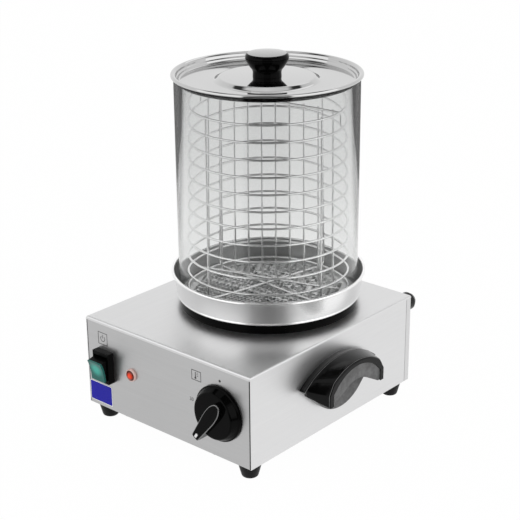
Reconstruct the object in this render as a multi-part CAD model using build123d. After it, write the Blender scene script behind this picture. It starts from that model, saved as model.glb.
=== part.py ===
"""Countertop hot dog steamer: a heated base, a steam tray, a glass cylinder with its lid and a wire basket.

Millimetres, +Z up. The control panel faces -Y and the two carrying handles face -X and +X.
The origin lies on the table, under the middle of the whole part's outer box.
"""

from build123d import *
import math
import os

# Gaps between pieces, and what a cut runs past the faces it opens
SEAT_GAP = 0.3
SLIDE_GAP = 0.6
RUN_FIT = 0.05
OVERRUN = 2.0

# Casing: one folded sheet for the top and both sides
CASE_W = 241.5
CASE_D = 276.0
CASE_H = 104.5
SHEET = 1.2
BEND_R = 2.2
LIP_H = 4.0
FOLD_DEPTH = 9.0
REAR_WRAP = 9.0
SEAM = 0.5
REAR_FOLD_W = 150.0

# Feet under the base plate
FOOT_H = 17.5
FOOT_TOP_R = 13.2
FOOT_LOW_R = 8.6
FOOT_INSET = 15.4
FOOT_BORE_R = 4.6
FOOT_LEDGE = 8.0

# Screws: a foot's, a panel's and a handle's are the same family
SCREW_R = 2.0
SCREW_HOLE_R = 2.15
SCREW_HEAD_R = 3.7
SCREW_HEAD_H = 2.6
SCREW_SIDES = 6
HEAD_SIDES = 10
HOLE_SIDES = 8
NUT_R = 4.0
NUT_H = 3.2

# Vents in the base plate
VENT_L = 34.0
VENT_W = 4.0
VENT_PITCH = 12.0
VENT_COUNT = 5
VENT_ROW_GAP = 60.0

# Glass axis, behind the middle of the casing
AXIS_BACK = 30.0

# Water pan and the black ring that carries the steam tray
PAN_R = 91.0
PAN_DEPTH = 40.0
PAN_WALL = 1.2
PAN_FLANGE_R = 97.0
PAN_HOLE_GAP = 0.6
RING_R = 100.2
RING_RISE = 15.5
RING_IN_R = 93.0
STUD_R = 2.5
STUD_L = 17.0

# Heater parts under the pan
ELEMENT_R = 62.0
ELEMENT_WIRE_R = 4.0
ELEMENT_SIDES = 6
ELEMENT_TURN = 30.0
ELEMENT_ARC = 312.0
ELEMENT_END = 4.0
TERMINAL_R = 2.6
TERMINAL_L = 12.0
CLAMP_W = 16.0
CLAMP_T = 2.0
CLAMP_SPAN = 140.0
CUTOUT_R = 8.0
CUTOUT_H = 8.0
CUTOUT_OFFSET = 32.0
CUTOUT_TAB_W = 5.0
CUTOUT_TAB_L = 7.0
CUTOUT_TAB_T = 0.8
BULB_R = 3.0
BULB_L = 62.0
BULB_OFFSET = 34.0
CLIP_W = 8.0
CLIP_T = 0.8

# Steam tray
TRAY_LOW_R = 102.4
TRAY_RIM_R = 108.6
TRAY_H = 28.0
TRAY_WALL = 1.5
TRAY_FLOOR_UP = 5.2
TRAY_HOLE_R = 80.0
TRAY_BEAD = 3.6
TRAY_EDGE = 1.6

# Perforated plate in the tray
PLATE_R = 92.0
PLATE_T = 1.2
PLATE_UP = 2.8
PLATE_HOLE_R = 3.2
PLATE_HOLE_PITCH = 19.2
PLATE_RINGS = 4
PLATE_HOLE_SIDES = 4

# Glass cylinder
GLASS_R = 100.0
GLASS_WALL = 3.0
GLASS_H = 240.0

# Lid
LID_R = 103.1
LID_SHEET = 1.0
LID_BEAD_H = 3.2
LID_BEAD_IN = 5.4
LID_WALL_TOP_R = 95.5
LID_WALL_LOW_R = 94.0
LID_DROP = 8.6
BOSS_LOW_R = 56.2
BOSS_TOP_R = 51.0
BOSS_H = 3.8

# Lid knob: a black turned mushroom
LID_KNOB_H = 25.5
LID_KNOB_BASE_R = 20.7
LID_KNOB_WAIST_R = 15.3
LID_KNOB_LIP_R = 23.4
LID_KNOB_TOP_R = 22.0
LID_KNOB_BASE_H = 1.8
LID_KNOB_WAIST_UP = 6.5
LID_KNOB_BOWL_UP = 15.0
LID_KNOB_BOWL_R = 19.5
LID_KNOB_LIP_UP = 19.5
LID_KNOB_LIP_H = 3.8
LID_SCREW_R = 2.5
LID_SCREW_L = 16.0
LID_WASHER_R = 7.0
LID_WASHER_T = 1.2

# Wire basket
WIRE_R = 1.25
WIRE_SIDES = 4
RING_COUNT = 12
RING_PITCH = 18.52
BASKET_R = 87.0
BASKET_SIDES = 28
BASKET_TURN = -8.0
UPRIGHT_BEND_R = 6.0
WELD = 0.2
DIVIDER_TURN = 22.5
DIVIDER_LOW = 7.4
DIVIDER_PITCH = 17.0
DIVIDER_WIRES = 10
DIVIDER_LEG = 13.0

# Thermostat and its knob on the front panel
KNOB_INSET = 42.95
CONTROL_DROP = 53.0
KNOB_R = 31.5
KNOB_FACE_R = 26.0
KNOB_RIM_H = 3.0
KNOB_FACE_H = 11.0
KNOB_GAP = 0.6
KNOB_REST = 215.0
GRIP_H = 17.0
GRIP_TIP_R = 35.6
GRIP_TAIL_R = 22.0
GRIP_W = 16.4
GRIP_TIP_W = 9.6
GRIP_FOOT = 1.8
MARK_W = 3.0
MARK_L = 7.0
MARK_D = 2.4
SHAFT_R = 3.0
SHAFT_IN = 9.0
SHAFT_BORE_END = 1.5
SHAFT_HOLE_R = 5.0
STAT_W = 40.0
STAT_H = 36.0
STAT_D = 20.0
STAT_TAB_W = 6.0
STAT_TAB_L = 8.0
STAT_TAB_T = 0.8
STAT_SCREW_X = 14.0

# Rocker switch
SWITCH_INSET = 29.35
SWITCH_DROP = 51.0
BEZEL_W = 24.0
BEZEL_H = 36.0
BEZEL_D = 8.4
WELL_W = 21.2
WELL_H = 27.8
WELL_IN_W = 18.0
WELL_IN_D = 9.0
SWITCH_BODY_W = 22.0
SWITCH_BODY_H = 30.0
SWITCH_BODY_D = 20.0
ROCKER_W = 20.4
ROCKER_H = 24.0
ROCKER_PIVOT = 4.0
ROCKER_FACE = 12.0
ROCKER_DISH = 1.2
ROCKER_ROOT = 2.0
ROCKER_PIN_R = 1.5
ROCKER_PIN_L = 22.6
ROCKER_TILT = 13.0
LENS_T = 2.4
SPADE_W = 6.3
SPADE_T = 0.8
SPADE_L = 8.0
SPADE_PITCH = 9.0

# Indicator lamp
LAMP_FROM_SWITCH = 40.4
LAMP_DROP = 50.5
LAMP_R = 6.4
LAMP_FLANGE_H = 1.4
LAMP_DOME_R = 5.8
LAMP_DOME_H = 8.0
LAMP_STEM_R = 4.6
LAMP_HOLE_R = 4.8
LAMP_BODY_R = 6.0
LAMP_BODY_L = 16.0

# Cable gland on the rear panel
GLAND_INSET = 11.75
GLAND_DROP = 12.6
GLAND_R = 10.4
GLAND_OUT = 15.0
GLAND_CONE = 5.0
GLAND_NOSE_R = 7.6
GLAND_BORE_R = 4.0
GLAND_THREAD_R = 6.0
GLAND_THREAD_L = 9.0
GLAND_NUT_R = 8.8
GLAND_NUT_H = 4.0

# Terminal block on the base plate
BLOCK_L = 42.0
BLOCK_W = 20.0
BLOCK_H = 16.0
BLOCK_X = 62.0
BLOCK_BACK = 34.0
BLOCK_WAYS = 3
BLOCK_SCREW_R = 3.4
BLOCK_SCREW_H = 1.2

# Carrying handle: a round-bottomed plate with a hooded grip; heights count down from the casing's top
PLATE_HALF = 61.5
PLATE_TIP_DROP = 43.6
PLATE_TOP_DROP = 21.5
PLATE_LOW_DROP = 83.0
PLATE_LOW_R = 48.6
HANDLE_BACK = 7.5
HANDLE_OUT = 30.0
GRIP_HALF = 46.2
GRIP_SHOULDER_HALF = 39.0
GRIP_SHOULDER_DROP = 34.0
GRIP_SIDE_DROP = 46.5
GRIP_TOE_DROP = 60.3
GRIP_TOE_W = 9.0
GRIP_ARCH_HALF = 17.8
GRIP_ARCH_DROP = 48.4
GRIP_ARCH_TOP_DROP = 43.5
GRIP_EDGE_R = 2.4
HANDLE_SCREW_DROP = 67.0
HANDLE_SCREW_UP = 33.0
HANDLE_SCREW_IN = 14.0
HANDLE_BOSS_R = 5.4
HANDLE_BOSS_CAP = 2.4
HANDLE_WALL = 4.5
BEAD_W = 5.6
BEAD_PROUD = 1.3
HOLLOW_HALF = 33.0
HOLLOW_SIDE_DROP = 40.0
HOLLOW_TOP_DROP = 28.5

# Places worked out from the sizes above
ROCKER_OUT = ROCKER_PIVOT + ROCKER_FACE * math.cos(math.radians(ROCKER_TILT)) + \
    ROCKER_H / 2 * math.sin(math.radians(ROCKER_TILT))
CASE_Y = (ROCKER_OUT - GLAND_OUT) / 2
FRONT_Y = CASE_Y - CASE_D / 2
REAR_Y = CASE_Y + CASE_D / 2
AXIS_Y = CASE_Y + AXIS_BACK
CASE_Z = FOOT_H
KNOB_X = CASE_W / 2 - KNOB_INSET
SWITCH_X = SWITCH_INSET - CASE_W / 2
LAMP_X = SWITCH_X + LAMP_FROM_SWITCH
GLAND_X = CASE_W / 2 - GLAND_INSET
TOP_Z = FOOT_H + CASE_H
PAN_Z = TOP_Z - PAN_DEPTH
RING_TOP_Z = TOP_Z + RING_RISE
TRAY_FLOOR_Z = RING_TOP_Z + SEAT_GAP
TRAY_Z = TRAY_FLOOR_Z - TRAY_FLOOR_UP
TRAY_SEAT_Z = TRAY_FLOOR_Z + TRAY_WALL
TRAY_TOP_Z = TRAY_Z + TRAY_H
PLATE_TOP_Z = TRAY_SEAT_Z + PLATE_UP
GLASS_Z = TRAY_SEAT_Z + SEAT_GAP
GLASS_TOP_Z = GLASS_Z + GLASS_H
LID_Z = GLASS_TOP_Z + SEAT_GAP
LID_FLOOR_Z = LID_Z + LID_BEAD_H - LID_DROP - LID_SHEET
BOSS_TOP_Z = LID_FLOOR_Z + LID_SHEET + BOSS_H
BASKET_Z = PLATE_TOP_Z + SEAT_GAP + WIRE_R
BASKET_TOP_Z = BASKET_Z + (RING_COUNT - 1) * RING_PITCH

FRONT = Plane(origin=(0, FRONT_Y, TOP_Z), x_dir=(1, 0, 0), z_dir=(0, -1, 0))
REAR = Plane(origin=(0, REAR_Y, TOP_Z), x_dir=(-1, 0, 0), z_dir=(0, 1, 0))
RIGHT = Plane(origin=(CASE_W / 2, CASE_Y, TOP_Z), x_dir=(0, 1, 0), z_dir=(1, 0, 0))
LEFT = Plane(origin=(-CASE_W / 2, CASE_Y, TOP_Z), x_dir=(0, -1, 0), z_dir=(-1, 0, 0))
AXIS = Pos(0, AXIS_Y, 0)


def block(x0, x1, y0, y1, z0, z1):
    """A box between two corners."""
    return Pos((x0 + x1) / 2, (y0 + y1) / 2, (z0 + z1) / 2) * Box(x1 - x0, y1 - y0, z1 - z0)


def turned(points):
    """A piece turned about Z from its half section, given as radius and height."""
    return revolve(Plane.XZ * make_face(Polyline(*points, close=True)), Axis.Z)


def rod(radius, z0, z1):
    """A round bar along Z between two heights."""
    return Pos(0, 0, (z0 + z1) / 2) * Cylinder(radius, z1 - z0)


def bar(radius, sides, z0, z1):
    """A bar along Z whose corners lie on a radius."""
    return Pos(0, 0, z0) * extrude(RegularPolygon(radius, sides), z1 - z0)


def screw_hole(radius, z0, z1):
    """What a small hole takes away: its flats lie on the radius."""
    return Pos(0, 0, z0) * extrude(RegularPolygon(radius, HOLE_SIDES, major_radius=False), z1 - z0)


def group(solids):
    """Separate solids that share one node."""
    return Compound(children=list(solids))


def screw(length):
    """A pan-head screw along Z: its head's underside is at zero and its shank goes down."""
    return bar(SCREW_HEAD_R, HEAD_SIDES, 0, SCREW_HEAD_H) + bar(SCREW_R, SCREW_SIDES, -length, 0)


def nut(across, height, bore):
    """A hexagon nut that stands on zero."""
    return bar(across, SCREW_SIDES, 0, height) - screw_hole(bore, -OVERRUN, height + OVERRUN)


def foot_places():
    """The middles of the four feet."""
    reach_x = CASE_W / 2 - FOOT_INSET
    reach_y = CASE_D / 2 - FOOT_INSET
    return [(sx * reach_x, CASE_Y + sy * reach_y) for sx in (-1, 1) for sy in (-1, 1)]


def rear_screw_places():
    """Places on the rear panel of the screws into the casing's fold and the base plate's fold."""
    reach = REAR_FOLD_W / 2 - FOLD_DEPTH
    high = -SHEET - FOLD_DEPTH / 2
    low = -CASE_H + SHEET + FOLD_DEPTH / 2
    return [(sx * reach, z) for sx in (-1, 1) for z in (high, low)]


def front_screw_places():
    """Places on the base plate of the screws into the front panel's lower fold."""
    reach = REAR_FOLD_W / 2 - FOLD_DEPTH
    return [(sx * reach, FRONT_Y + SHEET + FOLD_DEPTH / 2) for sx in (-1, 1)]


def handle_screw_places():
    """Places on a side of the two screws of a handle, counted down from the casing's top."""
    return [(0, -HANDLE_SCREW_DROP), (0, -HANDLE_SCREW_UP)]


def casing():
    """The folded top and sides, with the pan's hole, a front lip and a rear fold."""
    inner = CASE_W / 2 - SHEET
    body = block(-CASE_W / 2, CASE_W / 2, FRONT_Y, REAR_Y, CASE_Z, TOP_Z)
    top_edges = body.edges().group_by(Axis.Z)[-1].sort_by(Axis.Y)[:-1]
    body = fillet(top_edges, BEND_R)
    body -= block(-inner, inner, FRONT_Y + SHEET, REAR_Y + OVERRUN, CASE_Z - OVERRUN, TOP_Z - SHEET)
    body -= block(-inner, inner, FRONT_Y - OVERRUN, FRONT_Y + SHEET, CASE_Z - OVERRUN, TOP_Z - LIP_H)
    body -= block(-CASE_W, CASE_W, REAR_Y - REAR_WRAP, REAR_Y + OVERRUN, CASE_Z - OVERRUN, TOP_Z - BEND_R)
    fold_y = REAR_Y - SHEET
    half = REAR_FOLD_W / 2
    body += block(-half, half, fold_y - SHEET, fold_y, TOP_Z - SHEET - FOLD_DEPTH, TOP_Z - SHEET)
    body -= AXIS * rod(PAN_R + PAN_WALL + PAN_HOLE_GAP, TOP_Z - SHEET - OVERRUN, TOP_Z + OVERRUN)
    for side in (LEFT, RIGHT):
        for x, y in handle_screw_places():
            body -= side * (Pos(x, y) * screw_hole(SCREW_HOLE_R, -SHEET - OVERRUN, OVERRUN))
    for x, y in rear_screw_places()[::2]:
        body -= REAR * (Pos(x, y) * screw_hole(SCREW_HOLE_R, -FOLD_DEPTH, OVERRUN))
    return body


def front_panel():
    """The control panel, with folds along the casing's sides and over the base plate."""
    half = CASE_W / 2 - SHEET
    low = CASE_Z + SHEET
    high = TOP_Z - LIP_H
    back = FRONT_Y + SHEET
    panel = block(-half, half, FRONT_Y, back, CASE_Z, high)
    for sx in (-1, 1):
        x0, x1 = sorted((sx * half, sx * (half - SHEET)))
        panel += block(x0, x1, back, back + FOLD_DEPTH, low, high)
    panel += block(SHEET - half, half - SHEET, back, back + FOLD_DEPTH, low, low + SHEET)
    outer = panel.edges().filter_by(Axis.Z).group_by(Axis.Y)[0]
    panel = fillet(outer, SHEET - RUN_FIT)
    panel -= FRONT * (Pos(SWITCH_X, -SWITCH_DROP) * Box(
        SWITCH_BODY_W + 2 * SEAT_GAP, SWITCH_BODY_H + 2 * SEAT_GAP, SHEET * 2 + OVERRUN))
    panel -= FRONT * (Pos(LAMP_X, -LAMP_DROP) * rod(LAMP_HOLE_R, -SHEET - OVERRUN, OVERRUN))
    panel -= FRONT * (Pos(KNOB_X, -CONTROL_DROP) * rod(SHAFT_HOLE_R, -SHEET - OVERRUN, OVERRUN))
    for sx in (-1, 1):
        place = Pos(KNOB_X + sx * STAT_SCREW_X, -CONTROL_DROP)
        panel -= FRONT * (place * screw_hole(SCREW_HOLE_R, -SHEET - OVERRUN, OVERRUN))
    for x, y in front_screw_places():
        panel -= Pos(x, y) * screw_hole(SCREW_HOLE_R, low - OVERRUN, low + SHEET + OVERRUN)
    return panel


def rear_panel():
    """The rear panel, whose side folds close the ends of the casing's sides."""
    half = CASE_W / 2
    inner = half - BEND_R
    front = REAR_Y - REAR_WRAP + SEAM
    panel = block(-half, half, REAR_Y - SHEET, REAR_Y, CASE_Z, TOP_Z - BEND_R)
    for sx in (-1, 1):
        x0, x1 = sorted((sx * half, sx * (half - SHEET)))
        panel += block(x0, x1, front, REAR_Y, CASE_Z, TOP_Z - BEND_R)
    outer = panel.edges().filter_by(Axis.Z).group_by(Axis.Y)[-1]
    panel = fillet(outer, SHEET - RUN_FIT)
    panel += block(-inner, inner, REAR_Y - SHEET, REAR_Y, TOP_Z - BEND_R, TOP_Z - SHEET)
    for x, y in rear_screw_places():
        panel -= REAR * (Pos(x, y) * screw_hole(SCREW_HOLE_R, -SHEET - OVERRUN, OVERRUN))
    panel -= REAR * (Pos(-GLAND_X, -GLAND_DROP) * rod(GLAND_THREAD_R, -SHEET - OVERRUN, OVERRUN))
    return panel


def base_plate():
    """The bottom sheet with its rear fold, vents and screw holes."""
    half = CASE_W / 2 - SHEET
    back = REAR_Y - SHEET
    plate = block(-half, half, FRONT_Y + SHEET, back, CASE_Z, CASE_Z + SHEET)
    fold = REAR_FOLD_W / 2
    plate += block(-fold, fold, back - SHEET, back, CASE_Z, CASE_Z + SHEET + FOLD_DEPTH)
    for row in (-1, 1):
        for k in range(VENT_COUNT):
            x = row * VENT_ROW_GAP / 2
            y = CASE_Y + (k - (VENT_COUNT - 1) / 2) * VENT_PITCH
            plate -= block(x - VENT_L / 2, x + VENT_L / 2, y - VENT_W / 2, y + VENT_W / 2,
                           CASE_Z - OVERRUN, CASE_Z + SHEET + OVERRUN)
    for x, y in foot_places() + front_screw_places():
        plate -= Pos(x, y) * screw_hole(SCREW_HOLE_R, CASE_Z - OVERRUN, CASE_Z + SHEET + OVERRUN)
    for x, y in rear_screw_places()[1::2]:
        plate -= REAR * (Pos(x, y) * screw_hole(SCREW_HOLE_R, -SHEET * 2 - OVERRUN, OVERRUN))
    return plate


def rubber_feet():
    """Four tapered feet, each counterbored for its screw."""
    foot = turned([(0, 0), (FOOT_LOW_R, 0), (FOOT_TOP_R, FOOT_H), (0, FOOT_H)])
    foot -= bar(FOOT_BORE_R, HEAD_SIDES, -OVERRUN, FOOT_LEDGE) + screw_hole(SCREW_HOLE_R, 0, FOOT_H + OVERRUN)
    return group(Pos(x, y) * foot for x, y in foot_places())


def foot_screws():
    """The feet's screws, with their heads down in the counterbores."""
    length = FOOT_H - FOOT_LEDGE + SHEET + NUT_H + SHEET
    one = Pos(0, 0, FOOT_LEDGE) * Rot(180, 0, 0) * screw(length)
    return group(Pos(x, y) * one for x, y in foot_places())


def foot_nuts():
    """The nuts of the feet's screws, on the base plate."""
    one = Pos(0, 0, CASE_Z + SHEET) * nut(NUT_R, NUT_H, SCREW_R)
    return group(Pos(x, y) * one for x, y in foot_places())


def panel_screws():
    """Four screws through the rear panel and two up through the base plate."""
    length = SHEET * 2 + NUT_H
    rear = [REAR * (Pos(x, y) * screw(length)) for x, y in rear_screw_places()]
    low = [Pos(x, y, CASE_Z) * Rot(180, 0, 0) * screw(length) for x, y in front_screw_places()]
    return group(rear + low)


def water_pan():
    """The pan that holds the water, with its flange on the casing and a stud under it."""
    bore = PAN_R
    outer = PAN_R + PAN_WALL
    pan = turned([(0, PAN_Z), (outer, PAN_Z), (outer, TOP_Z), (PAN_FLANGE_R, TOP_Z),
                  (PAN_FLANGE_R, TOP_Z + PAN_WALL), (bore, TOP_Z + PAN_WALL),
                  (bore, PAN_Z + PAN_WALL), (0, PAN_Z + PAN_WALL)])
    return AXIS * (pan + bar(STUD_R, SCREW_SIDES, PAN_Z - STUD_L, PAN_Z))


def seat_ring():
    """The black ring on the pan's flange that carries the steam tray."""
    step = TOP_Z + PAN_WALL
    rebate = PAN_FLANGE_R + SEAT_GAP
    return AXIS * turned([(rebate, TOP_Z), (RING_R, TOP_Z), (RING_R, RING_TOP_Z),
                          (RING_IN_R, RING_TOP_Z), (RING_IN_R, step), (rebate, step)])


def heating_element():
    """An open ring of sheathed element with its two ends turned down."""
    z = PAN_Z - ELEMENT_WIRE_R
    outline = RegularPolygon(ELEMENT_WIRE_R, ELEMENT_SIDES, rotation=ELEMENT_TURN)
    section = Plane.XZ * (Pos(ELEMENT_R, z) * outline)
    ring = revolve(section, Axis.Z, revolution_arc=ELEMENT_ARC)
    end = math.radians(ELEMENT_ARC)
    inset = math.radians(ELEMENT_END)
    for turn in (inset, end - inset):
        place = Pos(ELEMENT_R * math.cos(turn), ELEMENT_R * math.sin(turn))
        ring += place * bar(TERMINAL_R, HOLE_SIDES, z - ELEMENT_WIRE_R - TERMINAL_L, z)
    return AXIS * Rot(0, 0, (180 - ELEMENT_ARC) / 2) * ring


def element_clamp():
    """The bar that holds the element up against the pan."""
    z = PAN_Z - 2 * ELEMENT_WIRE_R
    half = CLAMP_SPAN / 2
    strip = block(-half, half, -CLAMP_W / 2, CLAMP_W / 2, z - CLAMP_T, z)
    return AXIS * (strip - screw_hole(STUD_R + RUN_FIT, z - CLAMP_T - OVERRUN, z + OVERRUN))


def clamp_nut():
    """The nut under the clamp bar."""
    z = PAN_Z - 2 * ELEMENT_WIRE_R - CLAMP_T - NUT_H
    return AXIS * Pos(0, 0, z) * nut(NUT_R + STUD_R - SCREW_R, NUT_H, STUD_R)


def thermal_cutout():
    """The safety cutout, a small disc under the pan with two tabs."""
    low = PAN_Z - CUTOUT_H
    disc = rod(CUTOUT_R, low, PAN_Z)
    for sx in (-1, 1):
        x = sx * CUTOUT_R / 2
        disc += block(x - CUTOUT_TAB_T / 2, x + CUTOUT_TAB_T / 2, -CUTOUT_TAB_W / 2, CUTOUT_TAB_W / 2,
                      low - CUTOUT_TAB_L, low)
    return AXIS * Pos(0, CUTOUT_OFFSET) * disc


def sensor_bulb():
    """The thermostat's bulb, lying against the pan."""
    z = PAN_Z - BULB_R - RUN_FIT
    return AXIS * Pos(0, -BULB_OFFSET, z) * Rot(0, 90, 0) * Cylinder(BULB_R, BULB_L)


def bulb_clip():
    """The bent strip that holds the bulb to the pan."""
    inner = BULB_R + RUN_FIT
    outer = inner + CLIP_T
    high = PAN_Z
    low = PAN_Z - 2 * BULB_R - 2 * RUN_FIT - CLIP_T
    foot = outer + CLIP_W
    clip = block(-CLIP_W / 2, CLIP_W / 2, -outer, outer, low, high)
    clip -= block(-CLIP_W, CLIP_W, -inner, inner, low + CLIP_T, high + OVERRUN)
    for sy in (-1, 1):
        y0, y1 = sorted((sy * inner, sy * foot))
        clip += block(-CLIP_W / 2, CLIP_W / 2, y0, y1, high - CLIP_T, high)
    return AXIS * Pos(0, -BULB_OFFSET) * clip


def steam_tray():
    """The spun tray: a tapered wall with a rolled rim, and a raised floor with the steam hole."""
    lip = TRAY_TOP_Z - TRAY_BEAD
    taper = (TRAY_RIM_R - TRAY_BEAD / 2 - TRAY_LOW_R) / (TRAY_H - TRAY_BEAD)

    def wall(z):
        return TRAY_LOW_R + taper * (z - TRAY_Z)
    return AXIS * turned([
        (TRAY_HOLE_R, TRAY_FLOOR_Z), (wall(TRAY_FLOOR_Z) - TRAY_WALL, TRAY_FLOOR_Z),
        (TRAY_LOW_R - TRAY_WALL, TRAY_Z), (TRAY_LOW_R + TRAY_EDGE / 2, TRAY_Z),
        (TRAY_LOW_R + TRAY_EDGE / 2, TRAY_Z + TRAY_EDGE / 2), (wall(TRAY_Z + TRAY_EDGE), TRAY_Z + TRAY_EDGE),
        (wall(lip), lip), (TRAY_RIM_R, lip), (TRAY_RIM_R, TRAY_TOP_Z - TRAY_BEAD / 2),
        (TRAY_RIM_R - TRAY_BEAD / 2, TRAY_TOP_Z), (wall(lip) - TRAY_WALL, TRAY_TOP_Z),
        (wall(TRAY_SEAT_Z) - TRAY_WALL, TRAY_SEAT_Z), (TRAY_HOLE_R, TRAY_SEAT_Z)])


def perforated_plate():
    """The raised plate that the basket stands on, with rings of steam holes."""
    plate = turned([(0, PLATE_TOP_Z - PLATE_T), (PLATE_R - PLATE_T, PLATE_TOP_Z - PLATE_T),
                    (PLATE_R - PLATE_T, TRAY_SEAT_Z), (PLATE_R, TRAY_SEAT_Z), (PLATE_R, PLATE_TOP_Z),
                    (0, PLATE_TOP_Z)])
    spots = [(0, 0)]
    for k in range(1, PLATE_RINGS + 1):
        count = 6 * k
        turns = [2 * math.pi * j / count for j in range(count)]
        reach = k * PLATE_HOLE_PITCH
        spots += [(reach * math.cos(t), reach * math.sin(t)) for t in turns]
    holes = Sketch() + [Pos(x, y) * RegularPolygon(PLATE_HOLE_R, PLATE_HOLE_SIDES) for x, y in spots]
    cut = Pos(0, 0, PLATE_TOP_Z - PLATE_T - OVERRUN) * extrude(holes, PLATE_T + 2 * OVERRUN)
    return AXIS * (plate - cut)


def glass_cylinder():
    """The open glass tube that stands in the tray."""
    return AXIS * (rod(GLASS_R, GLASS_Z, GLASS_TOP_Z)
                   - rod(GLASS_R - GLASS_WALL, GLASS_Z - OVERRUN, GLASS_TOP_Z + OVERRUN))


def lid_shell():
    """The pressed lid: a rolled bead on the glass, a sunk floor and a raised boss."""
    bead_top = LID_Z + LID_BEAD_H
    low = LID_FLOOR_Z
    up = LID_SHEET
    bead_in = LID_R - LID_BEAD_IN
    half = LID_BEAD_H / 2
    shell = turned([
        (0, BOSS_TOP_Z - up), (BOSS_TOP_R, BOSS_TOP_Z - up), (BOSS_LOW_R, low), (LID_WALL_LOW_R + up, low),
        (LID_WALL_TOP_R + up, LID_Z), (LID_R - half / 2, LID_Z), (LID_R, LID_Z + half),
        (LID_R - half / 2, bead_top), (bead_in, bead_top), (LID_WALL_TOP_R, bead_top - half),
        (LID_WALL_LOW_R, low + up), (BOSS_LOW_R + up / 2, low + up), (BOSS_TOP_R + up / 2, BOSS_TOP_Z),
        (0, BOSS_TOP_Z)])
    hole = screw_hole(LID_SCREW_R + RUN_FIT, BOSS_TOP_Z - up - OVERRUN, BOSS_TOP_Z + OVERRUN)
    return AXIS * (shell - hole)


def lid_knob():
    """The mushroom knob on the lid's boss, bored for its screw."""
    z = BOSS_TOP_Z
    bore_top = z - LID_SHEET - LID_WASHER_T + LID_SCREW_L
    knob = turned([
        (0, z), (LID_KNOB_BASE_R, z), (LID_KNOB_BASE_R, z + LID_KNOB_BASE_H),
        (LID_KNOB_WAIST_R, z + LID_KNOB_WAIST_UP), (LID_KNOB_BOWL_R, z + LID_KNOB_BOWL_UP),
        (LID_KNOB_LIP_R, z + LID_KNOB_LIP_UP), (LID_KNOB_LIP_R, z + LID_KNOB_LIP_UP + LID_KNOB_LIP_H),
        (LID_KNOB_TOP_R, z + LID_KNOB_H), (0, z + LID_KNOB_H)])
    return AXIS * (knob - screw_hole(LID_SCREW_R, z - OVERRUN, bore_top))


def lid_screw():
    """The screw and washer under the lid that hold the knob."""
    seat = BOSS_TOP_Z - LID_SHEET
    washer = seat - LID_WASHER_T
    body = bar(LID_WASHER_R, HEAD_SIDES, washer, seat)
    body += bar(SCREW_HEAD_R, HEAD_SIDES, washer - SCREW_HEAD_H, washer)
    return AXIS * (body + bar(LID_SCREW_R, SCREW_SIDES, washer, washer + LID_SCREW_L))


def wire_section(place):
    """The cross-section of a wire on a plane."""
    return place * RegularPolygon(WIRE_R, WIRE_SIDES)


def basket_rings():
    """The level rings of the basket, one above the other."""
    reach = BASKET_R / math.cos(math.pi / BASKET_SIDES)
    turns = [2 * math.pi * (k + 1 / 2) / BASKET_SIDES for k in range(BASKET_SIDES)]
    path = Polyline(*[(reach * math.cos(t), reach * math.sin(t)) for t in turns], close=True)
    start = Plane(origin=(BASKET_R, 0, 0), x_dir=(1, 0, 0), z_dir=(0, 1, 0))
    ring = sweep(wire_section(start), path, transition=Transition.RIGHT)
    lay = AXIS * Rot(0, 0, BASKET_TURN)
    return group(lay * Pos(0, 0, BASKET_Z + k * RING_PITCH) * ring for k in range(RING_COUNT))


def straight(a, b):
    """A straight wire between two points of the XZ plane, with an edge of it facing Y."""
    start, end = Vector(*a), Vector(*b)
    place = Plane(origin=start, x_dir=(0, 1, 0), z_dir=end - start)
    return extrude(wire_section(place), (end - start).length)


def basket_uprights():
    """Two bent wires that rise inside the rings and cross under the basket."""
    reach = BASKET_R - 2 * WIRE_R + WELD
    high = BASKET_TOP_Z + WIRE_R
    wires = []
    for turn, low in ((0, BASKET_Z), (90, BASKET_Z + 2 * WIRE_R)):
        path = FilletPolyline((-reach, 0, high), (-reach, 0, low), (reach, 0, low), (reach, 0, high),
                              radius=UPRIGHT_BEND_R)
        start = Plane(origin=(-reach, 0, high), x_dir=(1, 0, 0), z_dir=(0, 0, -1))
        wires.append(AXIS * Rot(0, 0, BASKET_TURN + turn) * sweep(wire_section(start), path))
    return group(wires)


def basket_divider():
    """The flat grid across the basket: its top bar lies under the top ring and turns down at both ends."""
    low = BASKET_Z + DIVIDER_LOW
    high = BASKET_TOP_Z - 2 * WIRE_R + WELD
    inside = BASKET_R - 2 * WIRE_R
    off = 2 * WIRE_R - WELD
    bars = straight((-inside, 0, low), (inside, 0, low))
    bars += straight((-BASKET_R, 0, high), (BASKET_R, 0, high))
    for end in (-BASKET_R + WIRE_R, BASKET_R - WIRE_R):
        bars += straight((end, 0, high), (end, 0, high - DIVIDER_LEG))
    for k in range(DIVIDER_WIRES):
        x = (k - (DIVIDER_WIRES - 1) / 2) * DIVIDER_PITCH
        bars += straight((x, off, low - WIRE_R), (x, off, high + WIRE_R))
    return AXIS * Rot(0, 0, BASKET_TURN + DIVIDER_TURN) * bars


def thermostat_body():
    """The thermostat behind the front panel, with its two tabs."""
    back = -SHEET - STAT_D
    body = block(-STAT_W / 2, STAT_W / 2, -STAT_H / 2, STAT_H / 2, back, -SHEET)
    body -= rod(SHAFT_R + RUN_FIT, -SHEET - SHAFT_IN - OVERRUN, 0)
    for sx in (-1, 1):
        x = sx * STAT_W / 4
        body += block(x - STAT_TAB_W / 2, x + STAT_TAB_W / 2, -STAT_TAB_T / 2, STAT_TAB_T / 2,
                      back - STAT_TAB_L, back)
        body -= Pos(sx * STAT_SCREW_X, 0) * screw_hole(SCREW_R, -SHEET - STAT_D / 2, 0)
    return FRONT * (Pos(KNOB_X, -CONTROL_DROP) * body)


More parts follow.
